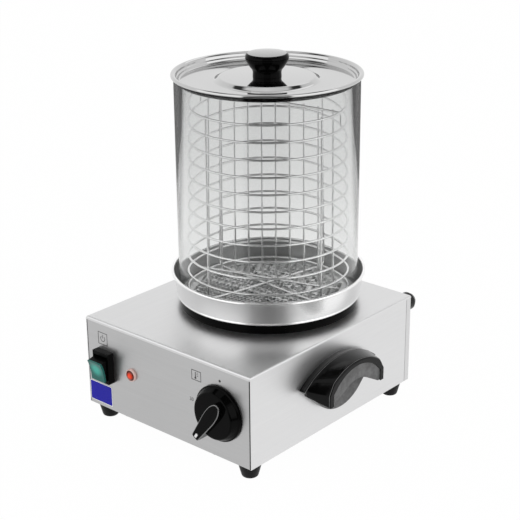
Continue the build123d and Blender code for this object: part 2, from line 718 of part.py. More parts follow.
def thermostat_screws():
    """The two screws that hold the thermostat, flush behind the knob."""
    one = bar(SCREW_R, SCREW_SIDES, -SHEET - STAT_D / 2, 0)
    return group(FRONT * (Pos(KNOB_X + sx * STAT_SCREW_X, -CONTROL_DROP) * one) for sx in (-1, 1))


def thermostat_shaft():
    """The thermostat's shaft, from inside its body into the knob."""
    shaft = rod(SHAFT_R, -SHEET - SHAFT_IN, KNOB_FACE_H - SHAFT_BORE_END)
    return FRONT * (Pos(KNOB_X, -CONTROL_DROP) * shaft)


def thermostat_knob():
    """A round skirted knob with a tapered grip that points past its rim and has a groove in its tip."""
    skirt = turned([(0, KNOB_GAP), (KNOB_R, KNOB_GAP), (KNOB_R, KNOB_RIM_H), (KNOB_FACE_R, KNOB_FACE_H),
                    (0, KNOB_FACE_H)])
    wide = GRIP_W / 2
    tip = GRIP_TIP_W / 2
    outline = make_face(Polyline((-wide, 0), (-tip, GRIP_TIP_R), (tip, GRIP_TIP_R), (wide, 0))
                        + ThreePointArc((wide, 0), (0, -GRIP_TAIL_R), (-wide, 0)))
    grip = Pos(0, 0, GRIP_FOOT + KNOB_GAP) * extrude(outline, GRIP_H - GRIP_FOOT - KNOB_GAP)
    knob = skirt + grip - rod(SHAFT_R, KNOB_GAP - OVERRUN, KNOB_FACE_H - SHAFT_BORE_END)
    knob -= block(-MARK_W / 2, MARK_W / 2, GRIP_TIP_R - MARK_L, GRIP_TIP_R + OVERRUN, GRIP_H - MARK_D,
                  GRIP_H + OVERRUN)
    return FRONT * (Pos(KNOB_X, -CONTROL_DROP) * Rot(0, 0, -KNOB_REST) * knob)


def switch_housing():
    """The switch's bezel and body with the well that the rocker turns in, and its spade tabs."""
    back = -SWITCH_BODY_D
    body = block(-BEZEL_W / 2, BEZEL_W / 2, -BEZEL_H / 2, BEZEL_H / 2, 0, BEZEL_D)
    body += block(-SWITCH_BODY_W / 2, SWITCH_BODY_W / 2, -SWITCH_BODY_H / 2, SWITCH_BODY_H / 2, back, 0)
    body -= block(-WELL_W / 2, WELL_W / 2, -WELL_H / 2, WELL_H / 2, 0, BEZEL_D + OVERRUN)
    body -= block(-WELL_IN_W / 2, WELL_IN_W / 2, -WELL_H / 2, WELL_H / 2, -WELL_IN_D, OVERRUN)
    hole = Cylinder(ROCKER_PIN_R + RUN_FIT, BEZEL_W - SHEET)
    body -= Pos(0, 0, ROCKER_PIVOT) * Rot(0, 90, 0) * hole
    for row in (-1, 1):
        for col in (-1, 1):
            x, y = col * SPADE_PITCH / 2, row * SPADE_PITCH
            body += block(x - SPADE_T / 2, x + SPADE_T / 2, y - SPADE_W / 2, y + SPADE_W / 2,
                          back - SPADE_L, back)
    return FRONT * (Pos(SWITCH_X, -SWITCH_DROP) * body)


def rocker_frame():
    """The rocker's own place: its middle on the pivot, tipped with its upper end out."""
    return FRONT * Location((SWITCH_X, -SWITCH_DROP, ROCKER_PIVOT), (0, 0, 0)) * Rot(ROCKER_TILT, 0, 0)


def switch_rocker():
    """The black body of the rocker on its pivot pin."""
    half = ROCKER_H / 2
    high = ROCKER_FACE - LENS_T
    outline = make_face(Polyline((-half, high), (-half, 0), (-half / 2, -ROCKER_ROOT),
                                 (half / 2, -ROCKER_ROOT), (half, 0), (half, high))
                        + ThreePointArc((half, high), (0, high - ROCKER_DISH), (-half, high)))
    body = extrude(Plane.YZ * outline, ROCKER_W / 2, both=True)
    body += Rot(0, 90, 0) * Cylinder(ROCKER_PIN_R, ROCKER_PIN_L)
    return rocker_frame() * body


def rocker_lens():
    """The clear green face of the rocker."""
    half = ROCKER_H / 2
    low = ROCKER_FACE - LENS_T
    arc_low = ThreePointArc((-half, low), (0, low - ROCKER_DISH), (half, low))
    arc_high = ThreePointArc((half, ROCKER_FACE), (0, ROCKER_FACE - ROCKER_DISH), (-half, ROCKER_FACE))
    outline = make_face(arc_low + Line((half, low), (half, ROCKER_FACE)) + arc_high
                        + Line((-half, ROCKER_FACE), (-half, low)))
    return rocker_frame() * extrude(Plane.YZ * outline, ROCKER_W / 2, both=True)


def lamp_lens():
    """The lamp's flanged lens, domed outside the panel and stemmed through it."""
    shoulder = LAMP_DOME_H - LAMP_DOME_R / 2
    lens = turned([(0, 0), (LAMP_R, 0), (LAMP_R, LAMP_FLANGE_H), (LAMP_DOME_R, LAMP_FLANGE_H),
                   (LAMP_DOME_R, shoulder), (LAMP_DOME_R / 2, LAMP_DOME_H), (0, LAMP_DOME_H)])
    lens += bar(LAMP_STEM_R, HEAD_SIDES, -SHEET, 0)
    return FRONT * (Pos(LAMP_X, -LAMP_DROP) * lens)


def lamp_holder():
    """The lamp's holder behind the panel."""
    return FRONT * (Pos(LAMP_X, -LAMP_DROP) * rod(LAMP_BODY_R, -SHEET - LAMP_BODY_L, -SHEET))


def cable_gland():
    """The gland on the rear panel, bored for the mains cable."""
    body = turned([(GLAND_BORE_R, -SHEET - GLAND_THREAD_L), (GLAND_THREAD_R, -SHEET - GLAND_THREAD_L),
                   (GLAND_THREAD_R, 0), (GLAND_R, 0), (GLAND_R, GLAND_OUT - GLAND_CONE),
                   (GLAND_NOSE_R, GLAND_OUT), (GLAND_BORE_R, GLAND_OUT)])
    return REAR * (Pos(-GLAND_X, -GLAND_DROP) * body)


def gland_nut():
    """The gland's nut inside the rear panel."""
    place = Pos(-GLAND_X, -GLAND_DROP, -SHEET - GLAND_NUT_H)
    return REAR * (place * nut(GLAND_NUT_R, GLAND_NUT_H, GLAND_THREAD_R))


def terminal_block():
    """The mains terminal block on the base plate."""
    low = CASE_Z + SHEET
    body = block(-BLOCK_L / 2, BLOCK_L / 2, -BLOCK_W / 2, BLOCK_W / 2, low, low + BLOCK_H)
    for k in range(BLOCK_WAYS):
        x = (k - (BLOCK_WAYS - 1) / 2) * BLOCK_L / BLOCK_WAYS
        body += Pos(x, 0) * bar(BLOCK_SCREW_R, HEAD_SIDES, low + BLOCK_H, low + BLOCK_H + BLOCK_SCREW_H)
    return Pos(BLOCK_X, REAR_Y - BLOCK_BACK) * body


def handle_plate():
    """The handle's back plate: an arched top, two wing tips and a round bottom."""
    corner = PLATE_LOW_R * math.sqrt(1 / 2)
    centre = -PLATE_LOW_DROP + PLATE_LOW_R
    low = centre - corner
    tip = (PLATE_HALF, -PLATE_TIP_DROP)
    outline = (ThreePointArc((-tip[0], tip[1]), (0, -PLATE_TOP_DROP), tip)
               + Line(tip, (corner, low))
               + ThreePointArc((corner, low), (0, -PLATE_LOW_DROP), (-corner, low))
               + Line((-corner, low), (-tip[0], tip[1])))
    return extrude(make_face(outline), HANDLE_BACK)


def grip_outline(half, side, toe, shoulder, shoulder_drop):
    """A closed outline of the grip: its arch, shoulders, side toes and the finger arch under it."""
    toe_in = half - GRIP_TOE_W
    right = [(shoulder, -shoulder_drop), (half, -side), (half, -toe), (toe_in, -toe),
             (GRIP_ARCH_HALF, -GRIP_ARCH_DROP)]
    left = [(-x, y) for x, y in reversed(right)]
    return make_face(
        ThreePointArc((-shoulder, -shoulder_drop), (0, -PLATE_TOP_DROP), (shoulder, -shoulder_drop))
        + Polyline(*right)
        + ThreePointArc((GRIP_ARCH_HALF, -GRIP_ARCH_DROP), (0, -GRIP_ARCH_TOP_DROP),
                        (-GRIP_ARCH_HALF, -GRIP_ARCH_DROP))
        + Polyline(*left))


def grip_hollow():
    """The finger hollow under the hood, open below, round the boss for the upper screw."""
    low = -GRIP_TOE_DROP - OVERRUN
    outline = make_face(
        ThreePointArc((-HOLLOW_HALF, -HOLLOW_SIDE_DROP), (0, -HOLLOW_TOP_DROP),
                      (HOLLOW_HALF, -HOLLOW_SIDE_DROP))
        + Polyline((HOLLOW_HALF, -HOLLOW_SIDE_DROP), (HOLLOW_HALF, low), (-HOLLOW_HALF, low),
                   (-HOLLOW_HALF, -HOLLOW_SIDE_DROP)))
    hollow = Pos(0, 0, HANDLE_BACK) * extrude(outline, HANDLE_OUT - HANDLE_WALL - HANDLE_BACK)
    boss = bar(HANDLE_BOSS_R, HEAD_SIDES, 0, HANDLE_SCREW_IN + HANDLE_BOSS_CAP)
    return hollow - Pos(0, -HANDLE_SCREW_UP) * boss


def bead_recess():
    """What the front of the hood loses under its bead: the face inside the bead, open below."""
    half = GRIP_HALF - BEAD_W
    shoulder = GRIP_SHOULDER_HALF - BEAD_W
    high = -GRIP_SHOULDER_DROP - BEAD_W
    low = -GRIP_TOE_DROP - OVERRUN
    outline = make_face(
        ThreePointArc((-shoulder, high), (0, -PLATE_TOP_DROP - BEAD_W), (shoulder, high))
        + Polyline((shoulder, high), (half, -GRIP_SIDE_DROP), (half, low), (-half, low),
                   (-half, -GRIP_SIDE_DROP), (-shoulder, high)))
    return Pos(0, 0, HANDLE_OUT - BEAD_PROUD) * extrude(outline, BEAD_PROUD + OVERRUN)


def handle():
    """One carrying handle, standing out from a side of the casing."""
    spread = PLATE_HALF - GRIP_HALF
    lift = GRIP_TOE_DROP - PLATE_TIP_DROP
    back = grip_outline(PLATE_HALF - SHEET, PLATE_TIP_DROP - SHEET, GRIP_TOE_DROP - lift * 3 / 4,
                        GRIP_SHOULDER_HALF + spread * 3 / 4, GRIP_SHOULDER_DROP + SHEET)
    front = grip_outline(GRIP_HALF, GRIP_SIDE_DROP, GRIP_TOE_DROP, GRIP_SHOULDER_HALF, GRIP_SHOULDER_DROP)
    grip = loft([Pos(0, 0, HANDLE_BACK - SHEET) * back, Pos(0, 0, HANDLE_OUT) * front], ruled=True)
    body = handle_plate() + grip
    rim = body.edges().group_by(Axis.Z)[-1].sort_by(Axis.Y)[-1]
    body = fillet(rim, GRIP_EDGE_R) - grip_hollow() - bead_recess()
    body -= Pos(0, -HANDLE_SCREW_DROP) * screw_hole(SCREW_HOLE_R, -OVERRUN, HANDLE_BACK + OVERRUN)
    body -= Pos(0, -HANDLE_SCREW_DROP) * bar(SCREW_HEAD_R + SEAT_GAP, HEAD_SIDES, HANDLE_BACK - SCREW_HEAD_H,
                                             HANDLE_BACK + OVERRUN)
    body -= Pos(0, -HANDLE_SCREW_UP) * screw_hole(SCREW_R, -OVERRUN, HANDLE_SCREW_IN)
    return body


def handle_screws():
    """For each handle, one screw in through its plate and one out from inside the casing."""
    outer = Pos(0, -HANDLE_SCREW_DROP, HANDLE_BACK - SCREW_HEAD_H) * screw(HANDLE_BACK + SHEET)
    inner = Pos(0, -HANDLE_SCREW_UP, -SHEET) * Rot(180, 0, 0) * screw(HANDLE_SCREW_IN)
    return group(side * one for side in (LEFT, RIGHT) for one in (outer, inner))


PIECES = {
    "casing": casing,
    "front_panel": front_panel,
    "rear_panel": rear_panel,
    "base_plate": base_plate,
    "rubber_feet": rubber_feet,
    "foot_screws": foot_screws,
    "foot_nuts": foot_nuts,
    "panel_screws": panel_screws,
    "water_pan": water_pan,
    "seat_ring": seat_ring,
    "heating_element": heating_element,
    "element_clamp": element_clamp,
    "clamp_nut": clamp_nut,
    "thermal_cutout": thermal_cutout,
    "sensor_bulb": sensor_bulb,
    "bulb_clip": bulb_clip,
    "thermostat_body": thermostat_body,
    "thermostat_screws": thermostat_screws,
    "thermostat_shaft": thermostat_shaft,
    "thermostat_knob": thermostat_knob,
    "switch_housing": switch_housing,
    "switch_rocker": switch_rocker,
    "rocker_lens": rocker_lens,
    "lamp_lens": lamp_lens,
    "lamp_holder": lamp_holder,
    "cable_gland": cable_gland,
    "gland_nut": gland_nut,
    "terminal_block": terminal_block,
    "handle_left": lambda: LEFT * handle(),
    "handle_right": lambda: RIGHT * handle(),
    "handle_screws": handle_screws,
    "steam_tray": steam_tray,
    "perforated_plate": perforated_plate,
    "glass_cylinder": glass_cylinder,
    "lid_shell": lid_shell,
    "lid_knob": lid_knob,
    "lid_screw": lid_screw,
    "basket_rings": basket_rings,
    "basket_uprights": basket_uprights,
    "basket_divider": basket_divider,
}

os.makedirs("parts", exist_ok=True)
for name, make in PIECES.items():
    export_step(make(), f"parts/{name}.step")
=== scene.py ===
"""Studio scene of a countertop hot dog steamer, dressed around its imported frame.

Sizes are millimetres until a mesh is finished, and then metres, in the frame's own axes: +Z up,
the control panel facing -Y and the two carrying handles facing -X and +X.
"""

import sys

import logging
import math
from dataclasses import dataclass
from enum import Enum
from typing import Any, Iterable, Sequence

import bmesh
import bpy
from mathutils import Matrix, Vector

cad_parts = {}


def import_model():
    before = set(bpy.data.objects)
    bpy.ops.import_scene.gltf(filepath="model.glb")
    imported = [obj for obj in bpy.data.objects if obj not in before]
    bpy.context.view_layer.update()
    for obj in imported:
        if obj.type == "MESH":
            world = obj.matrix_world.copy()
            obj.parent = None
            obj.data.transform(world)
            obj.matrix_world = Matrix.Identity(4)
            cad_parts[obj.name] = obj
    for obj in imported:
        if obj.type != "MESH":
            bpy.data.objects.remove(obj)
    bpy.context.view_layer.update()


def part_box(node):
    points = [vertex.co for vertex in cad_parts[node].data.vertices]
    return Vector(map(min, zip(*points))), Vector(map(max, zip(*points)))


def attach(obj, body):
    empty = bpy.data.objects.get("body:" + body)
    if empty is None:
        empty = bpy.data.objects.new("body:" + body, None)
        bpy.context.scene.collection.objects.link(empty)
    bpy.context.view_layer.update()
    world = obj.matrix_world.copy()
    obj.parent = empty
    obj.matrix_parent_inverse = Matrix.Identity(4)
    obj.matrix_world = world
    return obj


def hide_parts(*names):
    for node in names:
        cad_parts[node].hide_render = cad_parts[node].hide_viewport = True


LOG = logging.getLogger("steamer")
MM = 0.001
TURN = 2 * math.pi

# Facets round a turned shape, by its size.
LARGE, BROAD, MIDDLE, SMALL = 192, 160, 96, 48

# How far apart vertices may be and still become one, in millimetres: in a piece, between the cells
# of a plate, and in a mesh read from the frame.
WELD, SEAM, LOOSE = 1e-4, 1e-3, 2e-3

# How rough the noise of fine marks is, and where on its noise a ring and a worn patch begin and end.
RAGGED = 0.7
RINGED = (0.25, 0.75)
WORN = (0.35, 0.75)

Point = tuple[float, float, float]
Span = tuple[float, float]


class Body(Enum):
    """The frame's bodies that pieces of this scene ride on."""

    BASE = "base"
    TRAY = "tray"
    GLASS = "glass"
    LID = "lid"
    BASKET = "basket"
    KNOB = "control_knob"


class Slot(Enum):
    """The record's material slots, passed along with the pieces of this scene."""

    BRUSHED = "brushed_steel"
    POLISHED = "polished_steel"
    SPUN = "spun_aluminium"
    GLASS = "clear_glass"
    PLASTIC = "black_plastic"
    GLOSS = "black_gloss"
    ENAMEL = "black_enamel"
    RUBBER = "black_rubber"
    CHROME = "chromed_wire"
    ZINC = "zinc_steel"
    PAN = "pan_steel"
    RED = "red_lens"


class Grain(Enum):
    """Which way a sheet's brushed lines run, as how fast the pattern changes along X, Y and Z."""

    ALONG_X = (0.012, 1.0, 1.0)
    ALONG_Y = (1.0, 0.012, 1.0)


class Net:
    """A material's node tree in the making."""

    def __init__(self, name: str) -> None:
        """Start an empty material.

        Args:
            name: The material's name.
        """
        self.material = bpy.data.materials.new(name)
        self.material.use_nodes = True
        self.tree = self.material.node_tree
        self.tree.nodes.clear()

    @classmethod
    def of_tree(cls, tree: bpy.types.NodeTree) -> "Net":
        """Take over a tree that is there already, such as the world's.

        Args:
            tree: The tree, which is emptied.

        Returns:
            A net over it.
        """
        net = cls.__new__(cls)
        net.material, net.tree = None, tree
        tree.nodes.clear()
        return net

    def node(self, kind: str, sockets: dict[Any, Any] | None = None, out: int | str = 0,
             **settings: Any) -> "Value":
        """Add a node.

        Args:
            kind: The node's type.
            sockets: Values or links of its sockets.
            out: Which output is wanted.
            settings: The node's own settings, set first; "stops" are a ramp's places and grey levels.

        Returns:
            The wanted output, ready for arithmetic.
        """
        made = self.tree.nodes.new(kind)
        for key, value in settings.items():
            if key == "stops":
                self.fill(made.color_ramp.elements, value)
            else:
                setattr(made, key, value)
        for key, value in (sockets or {}).items():
            if isinstance(value, Value):
                self.tree.links.new(value.socket, made.inputs[key])
            else:
                made.inputs[key].default_value = value
        return Value(self, made.outputs[out] if made.outputs else None)

    @staticmethod
    def fill(elements: Any, stops: Sequence[Span]) -> None:
        """Set a ramp's stops.

        Args:
            elements: The ramp's own elements.
            stops: Places from 0 to 1 and their grey levels, in order.
        """
        while len(elements) < len(stops):
            elements.new(0.5)
        for element, (where, grey) in zip(elements, stops):
            element.position, element.color = where, tone(grey)

    def graph(self, place: "Value", stops: Sequence[Span]) -> "Value":
        """A grey level drawn through stops, read at a place from 0 to 1."""
        return self.node("ShaderNodeValToRGB", {"Fac": place}, stops=stops)

    def place(self, scale: Point = (1, 1, 1), centre: Point = (0, 0, 0)) -> "Value":
        """Read the point on the piece in millimetres, counted from a centre and stretched.

        Args:
            scale: How fast the pattern changes along each axis.
            centre: The pattern's middle, in millimetres.

        Returns:
            The vector.
        """
        point = self.node("ShaderNodeTexCoord", out="Object")
        per_mm = [s / MM for s in scale]
        shift = [-c * s for c, s in zip(centre, scale)]
        return self.node("ShaderNodeMapping", {"Vector": point, "Location": shift, "Scale": per_mm},
                         vector_type="POINT")

    def noise(self, where: "Value", scale: float, detail: float = 3.0, rough: float = 0.55) -> "Value":
        """A cloudy number from 0 to 1, read at a vector, with finer and rougher octaves on demand."""
        return self.node("ShaderNodeTexNoise",
                         {"Vector": where, "Scale": scale, "Detail": detail, "Roughness": rough})

    def ramp(self, value: "Value", start: float, end: float, low: float = 0.0, high: float = 1.0) -> "Value":
        """Spread a value smoothly from one range to another and hold it at the ends.

        Args:
            value: The value.
            start: Where the low end is met.
            end: Where the high end is met.
            low: The low end.
            high: The high end.

        Returns:
            The spread value.
        """
        return self.node("ShaderNodeMapRange", {"Value": value, "From Min": start, "From Max": end,
                                                "To Min": low, "To Max": high},
                         clamp=True, interpolation_type="SMOOTHSTEP")

    def mix(self, share: "Value | float", first: Any, second: Any) -> "Value":
        """Mix two colours, greys or values, where the share of the second one is from 0 to 1."""
        first, second = (c if isinstance(c, Value) else tone(c) for c in (first, second))
        return self.node("ShaderNodeMix", {0: share, 6: first, 7: second}, 2, data_type="RGBA")

    def split(self, vector: "Value") -> "list[Value]":
        """The three numbers of a vector."""
        made = self.node("ShaderNodeSeparateXYZ", {"Vector": vector}).socket.node
        return [Value(self, socket) for socket in made.outputs]

    def join(self, x: Any, y: Any, z: Any) -> "Value":
        """A vector of three numbers."""
        return self.node("ShaderNodeCombineXYZ", {"X": x, "Y": y, "Z": z})

    def bump(self, height: "Value", strength: float, depth: float) -> "Value":
        """A normal that follows a height from 0 to 1, where 1 stands for a depth in millimetres."""
        return self.node("ShaderNodeBump", {"Height": height, "Strength": strength, "Distance": depth * MM})

    def principled(self, sockets: dict[str, Any]) -> "Value":
        """Add a principled shader.

        Args:
            sockets: Values or links of its sockets; a plain colour may be a grey.

        Returns:
            The shader.
        """
        colours = {key: tone(value) for key, value in sockets.items()
                   if key.endswith("Color") and not isinstance(value, Value)}
        return self.node("ShaderNodeBsdfPrincipled", {**sockets, **colours})

    def surface(self, shader: "Value") -> bpy.types.Material:
        """End in a shader; gives the material."""
        self.node("ShaderNodeOutputMaterial", {"Surface": shader})
        return self.material

    def finish(self, sockets: dict[str, Any]) -> bpy.types.Material:
        """End in one principled shader with these sockets; gives the material."""
        return self.surface(self.principled(sockets))


class Value:
    """A socket that takes part in arithmetic: each operation adds its Math node."""

    def __init__(self, net: Net, socket: Any) -> None:
        """Wrap a socket of a net."""
        self.net = net
        self.socket = socket

    def math(self, operation: str, *others: Any) -> "Value":
        """This value and others through one Math node."""
        return self.net.node("ShaderNodeMath", dict(enumerate((self, *others))), operation=operation)

    def __add__(self, other: Any) -> "Value":
        """Sum."""
        return self.math("ADD", other)

    __radd__ = __add__

    def __mul__(self, other: Any) -> "Value":
        """Product."""
        return self.math("MULTIPLY", other)

    def __sub__(self, other: Any) -> "Value":
        """Difference."""
        return self.math("SUBTRACT", other)

    def __rsub__(self, other: Any) -> "Value":
        """Difference the other way round."""
        return (self * -1.0) + other

    def __truediv__(self, other: Any) -> "Value":
        """Quotient."""
        return self.math("DIVIDE", other)

    def larger(self, other: Any) -> "Value":
        """The larger of two values."""
        return self.math("MAXIMUM", other)

    def absolute(self) -> "Value":
        """The value without its sign."""
        return self.math("ABSOLUTE")

    def sway(self, amount: float) -> "Value":
        """How far a number from 0 to 1 lies from a half, times an amount."""
        return (self - 0.5) * amount


def norm(*parts: Value) -> Value:
    """The length of a vector, from its parts."""
    return sum((part * part for part in parts[1:]), parts[0] * parts[0]).math("SQRT")


def tone(value: Any) -> tuple[float, float, float, float]:
    """A colour from one grey or from three numbers."""
    red, green, blue = (value,) * 3 if isinstance(value, (int, float)) else value[:3]
    return (red, green, blue, 1.0)


def lighter(colour: Any, times: float, plus: float) -> list[float]:
    """A colour made lighter."""
    return [min(1.0, c * times + plus) for c in tone(colour)[:3]]


def rings(net: Net, radius: Value, z: Value, pitch: float, drift: Any = 0.0) -> Value:
    """Fine rings by radius and height, from 0 to 1, as spinning leaves them."""
    return net.noise(net.join(radius * pitch, z * pitch, drift), 1.0, 3.0, RAGGED)


@dataclass(frozen=True)
class Finish:
    """A finish, made once as a material and shared."""

    name: str

    def material(self) -> bpy.types.Material:
        """The finish's material, made on its first use."""
        return bpy.data.materials.get(self.name) or self.make(Net(self.name))

    def make(self, net: Net) -> bpy.types.Material:
        """Build the nodes."""
        raise NotImplementedError


@dataclass(frozen=True)
class BrushedSheet(Finish):
    """Stainless sheet with fine straight lines.

    The scales are in waves for each millimetre.
    """

    grain: Grain = Grain.ALONG_X
    colour: float = 0.72
    rough: float = 0.30
    line_scale: float = 2.6
    streak_scale: float = 0.35
    cloud_scale: float = 0.011
    line_tone: float = 0.09
    streak_tone: float = 0.035
    cloud_tone: float = 0.03
    blue: float = 1.004
    line_rough: float = 0.10
    cloud_rough: float = 0.07
    relief: float = 0.10
    depth: float = 0.05

    def make(self, net: Net) -> bpy.types.Material:
        """Long thin streaks in colour, gloss and height, with faint cloudy handling marks.

        Args:
            net: The nodes.

        Returns:
            The material.
        """
        fine = net.noise(net.place(self.grain.value), self.line_scale, 3.0, RAGGED)
        wide = net.noise(net.place(self.grain.value), self.streak_scale, 2.0)
        cloud = net.noise(net.place(), self.cloud_scale, 3.0)
        shade = self.colour + fine.sway(self.line_tone) + wide.sway(self.streak_tone)
        shade = shade + cloud.sway(self.cloud_tone)
        return net.finish({
            "Base Color": net.join(shade, shade, shade * self.blue),
            "Roughness": self.rough + fine.sway(self.line_rough) + cloud.sway(self.cloud_rough),
            "Normal": net.bump(fine, self.relief, self.depth), "Metallic": 1.0})


@dataclass(frozen=True)
class TurnedMetal(Finish):
    """Metal with fine rings round an upright axis, as spinning or polishing leaves."""

    centre: Point = (0, 0, 0)
    colour: Any = 0.8
    rough: float = 0.2
    depth: float = 0.3
    pitch: float = 1.6
    drift: float = 0.4
    drift_scale: float = 0.02
    darker: float = 0.4
    cloud_scale: float = 0.03
    cloud_rough: float = 0.06
    relief: float = 0.4
    bump_depth: float = 0.04

    def make(self, net: Net) -> bpy.types.Material:
        """Rings by radius and height, with a slow drift round the axis.

        Args:
            net: The nodes.

        Returns:
            The material.
        """
        x, y, z = net.split(net.place(centre=self.centre))
        drift = net.noise(net.place(centre=self.centre), self.drift_scale, 2.0) * self.drift
        ringed = rings(net, norm(x, y), z, self.pitch, drift)
        cloud = net.noise(net.place(), self.cloud_scale, 3.0)
        dark = [c * (1 - self.darker * self.depth) for c in tone(self.colour)[:3]]
        return net.finish({
            "Base Color": net.mix(net.ramp(ringed, *RINGED), dark, self.colour),
            "Roughness": self.rough + ringed.sway(self.rough * 0.5) + cloud.sway(self.cloud_rough),
            "Normal": net.bump(ringed, self.depth * self.relief, self.bump_depth), "Metallic": 1.0})


@dataclass(frozen=True)
class SpunTray(Finish):
    """A spun tray, drawn bright outside; inside its leaning wall it is rougher and painted darker as shade.

    The wall's middle stands `inside` from the axis at the height `low_z`, and leans out by `rise` for
    each millimetre up. Above `rim_up` the rolled rim is bright all round.
    """

    centre: Point = (0, 0, 0)
    low_z: float = 132.6
    inside: float = 101.6
    rise: float = 0.2
    rim_up: Span = (26.2, 27.0)
    blend: float = 0.2
    bright: float = 0.95
    painted_inner_shade: float = 0.42
    dull_rough: float = 0.46
    smoother: float = 0.22
    drawn: float = 0.6
    pitch: float = 1.6
    ring_tone: float = 0.95
    ring_rough: float = 0.1
    cloud_scale: float = 0.03
    cloud_rough: float = 0.06
    relief: float = 0.05
    bump_depth: float = 0.04

    def make(self, net: Net) -> bpy.types.Material:
        """Rings by height, and the inner side, told from the outer one by the wall's cone, painted darker as
        shade.

        Args:
            net: The nodes.

        Returns:
            The material.
        """
        x, y, z = net.split(net.place(centre=self.centre))
        radius = norm(x, y)
        outer = net.ramp(radius - (z - self.low_z) * self.rise, self.inside - self.blend,
                         self.inside + self.blend)
        outer = outer.larger(net.ramp(z, *(self.low_z + up for up in self.rim_up)))
        ringed = rings(net, radius, z, self.pitch)
        cloud = net.noise(net.place(), self.cloud_scale, 3.0)
        outside = net.mix(net.ramp(ringed, *RINGED), self.bright * self.ring_tone, self.bright)
        rough = self.dull_rough - outer * self.smoother + ringed.sway(self.ring_rough)
        # Painted shade: the inner side takes a much darker colour than the outer one.
        return net.finish({
            "Base Color": net.mix(outer, self.painted_inner_shade, outside),
            "Roughness": rough + cloud.sway(self.cloud_rough),
            "Normal": net.bump(ringed, self.relief, self.bump_depth),
            "Metallic": 1.0, "Anisotropic": self.drawn, "Anisotropic Rotation": 0.25})


@dataclass(frozen=True)
class PlainMetal(Finish):
    """Small metal parts: plated, sheathed or cast, with a mottled surface."""

    colour: Any = 0.6
    rough: float = 0.3
    mottle: float = 0.5
    metallic: float = 1.0
    tint: Any = 0.5
    grain: float = 0.8
    patch_scale: float = 0.35
    patch_rough: float = 0.12
    fine_scale: float = 3.0
    fine_rough: float = 0.05
    relief: float = 0.12
    bump_depth: float = 0.04

    def make(self, net: Net) -> bpy.types.Material:
        """Mottled plating that dulls in patches.

        Args:
            net: The nodes.

        Returns:
            The material.
        """
        patch = net.noise(net.place(), self.patch_scale * self.grain, 4.0)
        fine = net.noise(net.place(), self.fine_scale * self.grain, 2.0)
        return net.finish({
            "Base Color": net.mix(net.ramp(patch, *WORN, 0.0, self.mottle), self.colour, self.tint),
            "Roughness": self.rough + patch.sway(self.patch_rough) + fine.sway(self.fine_rough),
            "Normal": net.bump(fine, self.relief, self.bump_depth), "Metallic": self.metallic})


@dataclass(frozen=True)
class Moulded(Finish):
    """Plastic, rubber or enamel with a fine skin."""

    colour: Any = 0.012
    rough: float = 0.35
    skin: float = 1.4
    relief: float = 0.12
    coat: float = 0.0
    specular: float = 0.5
    ior: float = 1.5
    skin_rough: float = 0.6
    fine_rough: float = 0.06
    cloud_scale: float = 0.05
    cloud_rough: float = 0.14
    dust: Span = (1.35, 0.001)
    bump_depth: float = 0.06
    coat_rough: float = 0.05

    def make(self, net: Net) -> bpy.types.Material:
        """A fine pebbled skin, cloudy gloss and a hint of dust in the hollows of the grain.

        Args:
            net: The nodes.

        Returns:
            The material.
        """
        fine = net.noise(net.place(), self.skin, 3.0, self.skin_rough)
        cloud = net.noise(net.place(), self.cloud_scale, 3.0)
        dusty = net.ramp(fine * 0.5 + cloud * 0.5, *WORN)
        return net.finish({
            "Base Color": net.mix(dusty, self.colour, lighter(self.colour, *self.dust)),
            "Roughness": self.rough + cloud.sway(self.cloud_rough) + fine.sway(self.fine_rough),
            "Normal": net.bump(fine, self.relief, self.bump_depth),
            "Coat Weight": self.coat, "Coat Roughness": self.coat_rough,
            "Specular IOR Level": self.specular, "IOR": self.ior})


@dataclass(frozen=True)
class HandleSkin(Finish):
    """Moulded black, glossy on its flanks, with matt faces on the grip and on the plate that are painted
    paler as lit faces.
    """

    grip_x: float = 149.45
    plate_x: float = 128.25
    blend: Span = (0.1, 0.3)
    gloss: float = 0.002
    painted_lit_face: Span = (0.10, 0.18)
    gloss_rough: float = 0.15
    rougher: float = 0.40
    skin: float = 1.2
    skin_rough: float = 0.6
    cloud_scale: float = 0.09
    cloud_detail: Span = (5.0, 0.65)
    cloud_tone: Span = (0.3, 0.7)
    cloud_rough: float = 0.10
    relief: float = 0.05
    bump_depth: float = 0.05
    ior: float = 1.25

    def make(self, net: Net) -> bpy.types.Material:
        """The faces by their place across, made matt and painted paler as painted light, with a fine pebbled
        skin and cloudy moulding marks.

        Args:
            net: The nodes.

        Returns:
            The material.
        """
        across = net.split(net.place())[0].absolute()
        grip, plate = (1 - net.ramp((across - x).absolute(), *self.blend)
                       for x in (self.grip_x, self.plate_x))
        face = grip.larger(plate)
        fine = net.noise(net.place(), self.skin, 3.0, self.skin_rough)
        cloud = net.noise(net.place(), self.cloud_scale, *self.cloud_detail)
        # Painted light: the faces take a paler grey than the black flanks.
        painted_lit_face = net.mix(net.ramp(cloud, *self.cloud_tone), *self.painted_lit_face)
        return net.finish({
            "Base Color": net.mix(face, self.gloss, painted_lit_face),
            "Roughness": self.gloss_rough + face * self.rougher + cloud.sway(self.cloud_rough),
            "Normal": net.bump(fine, self.relief, self.bump_depth), "IOR": self.ior})


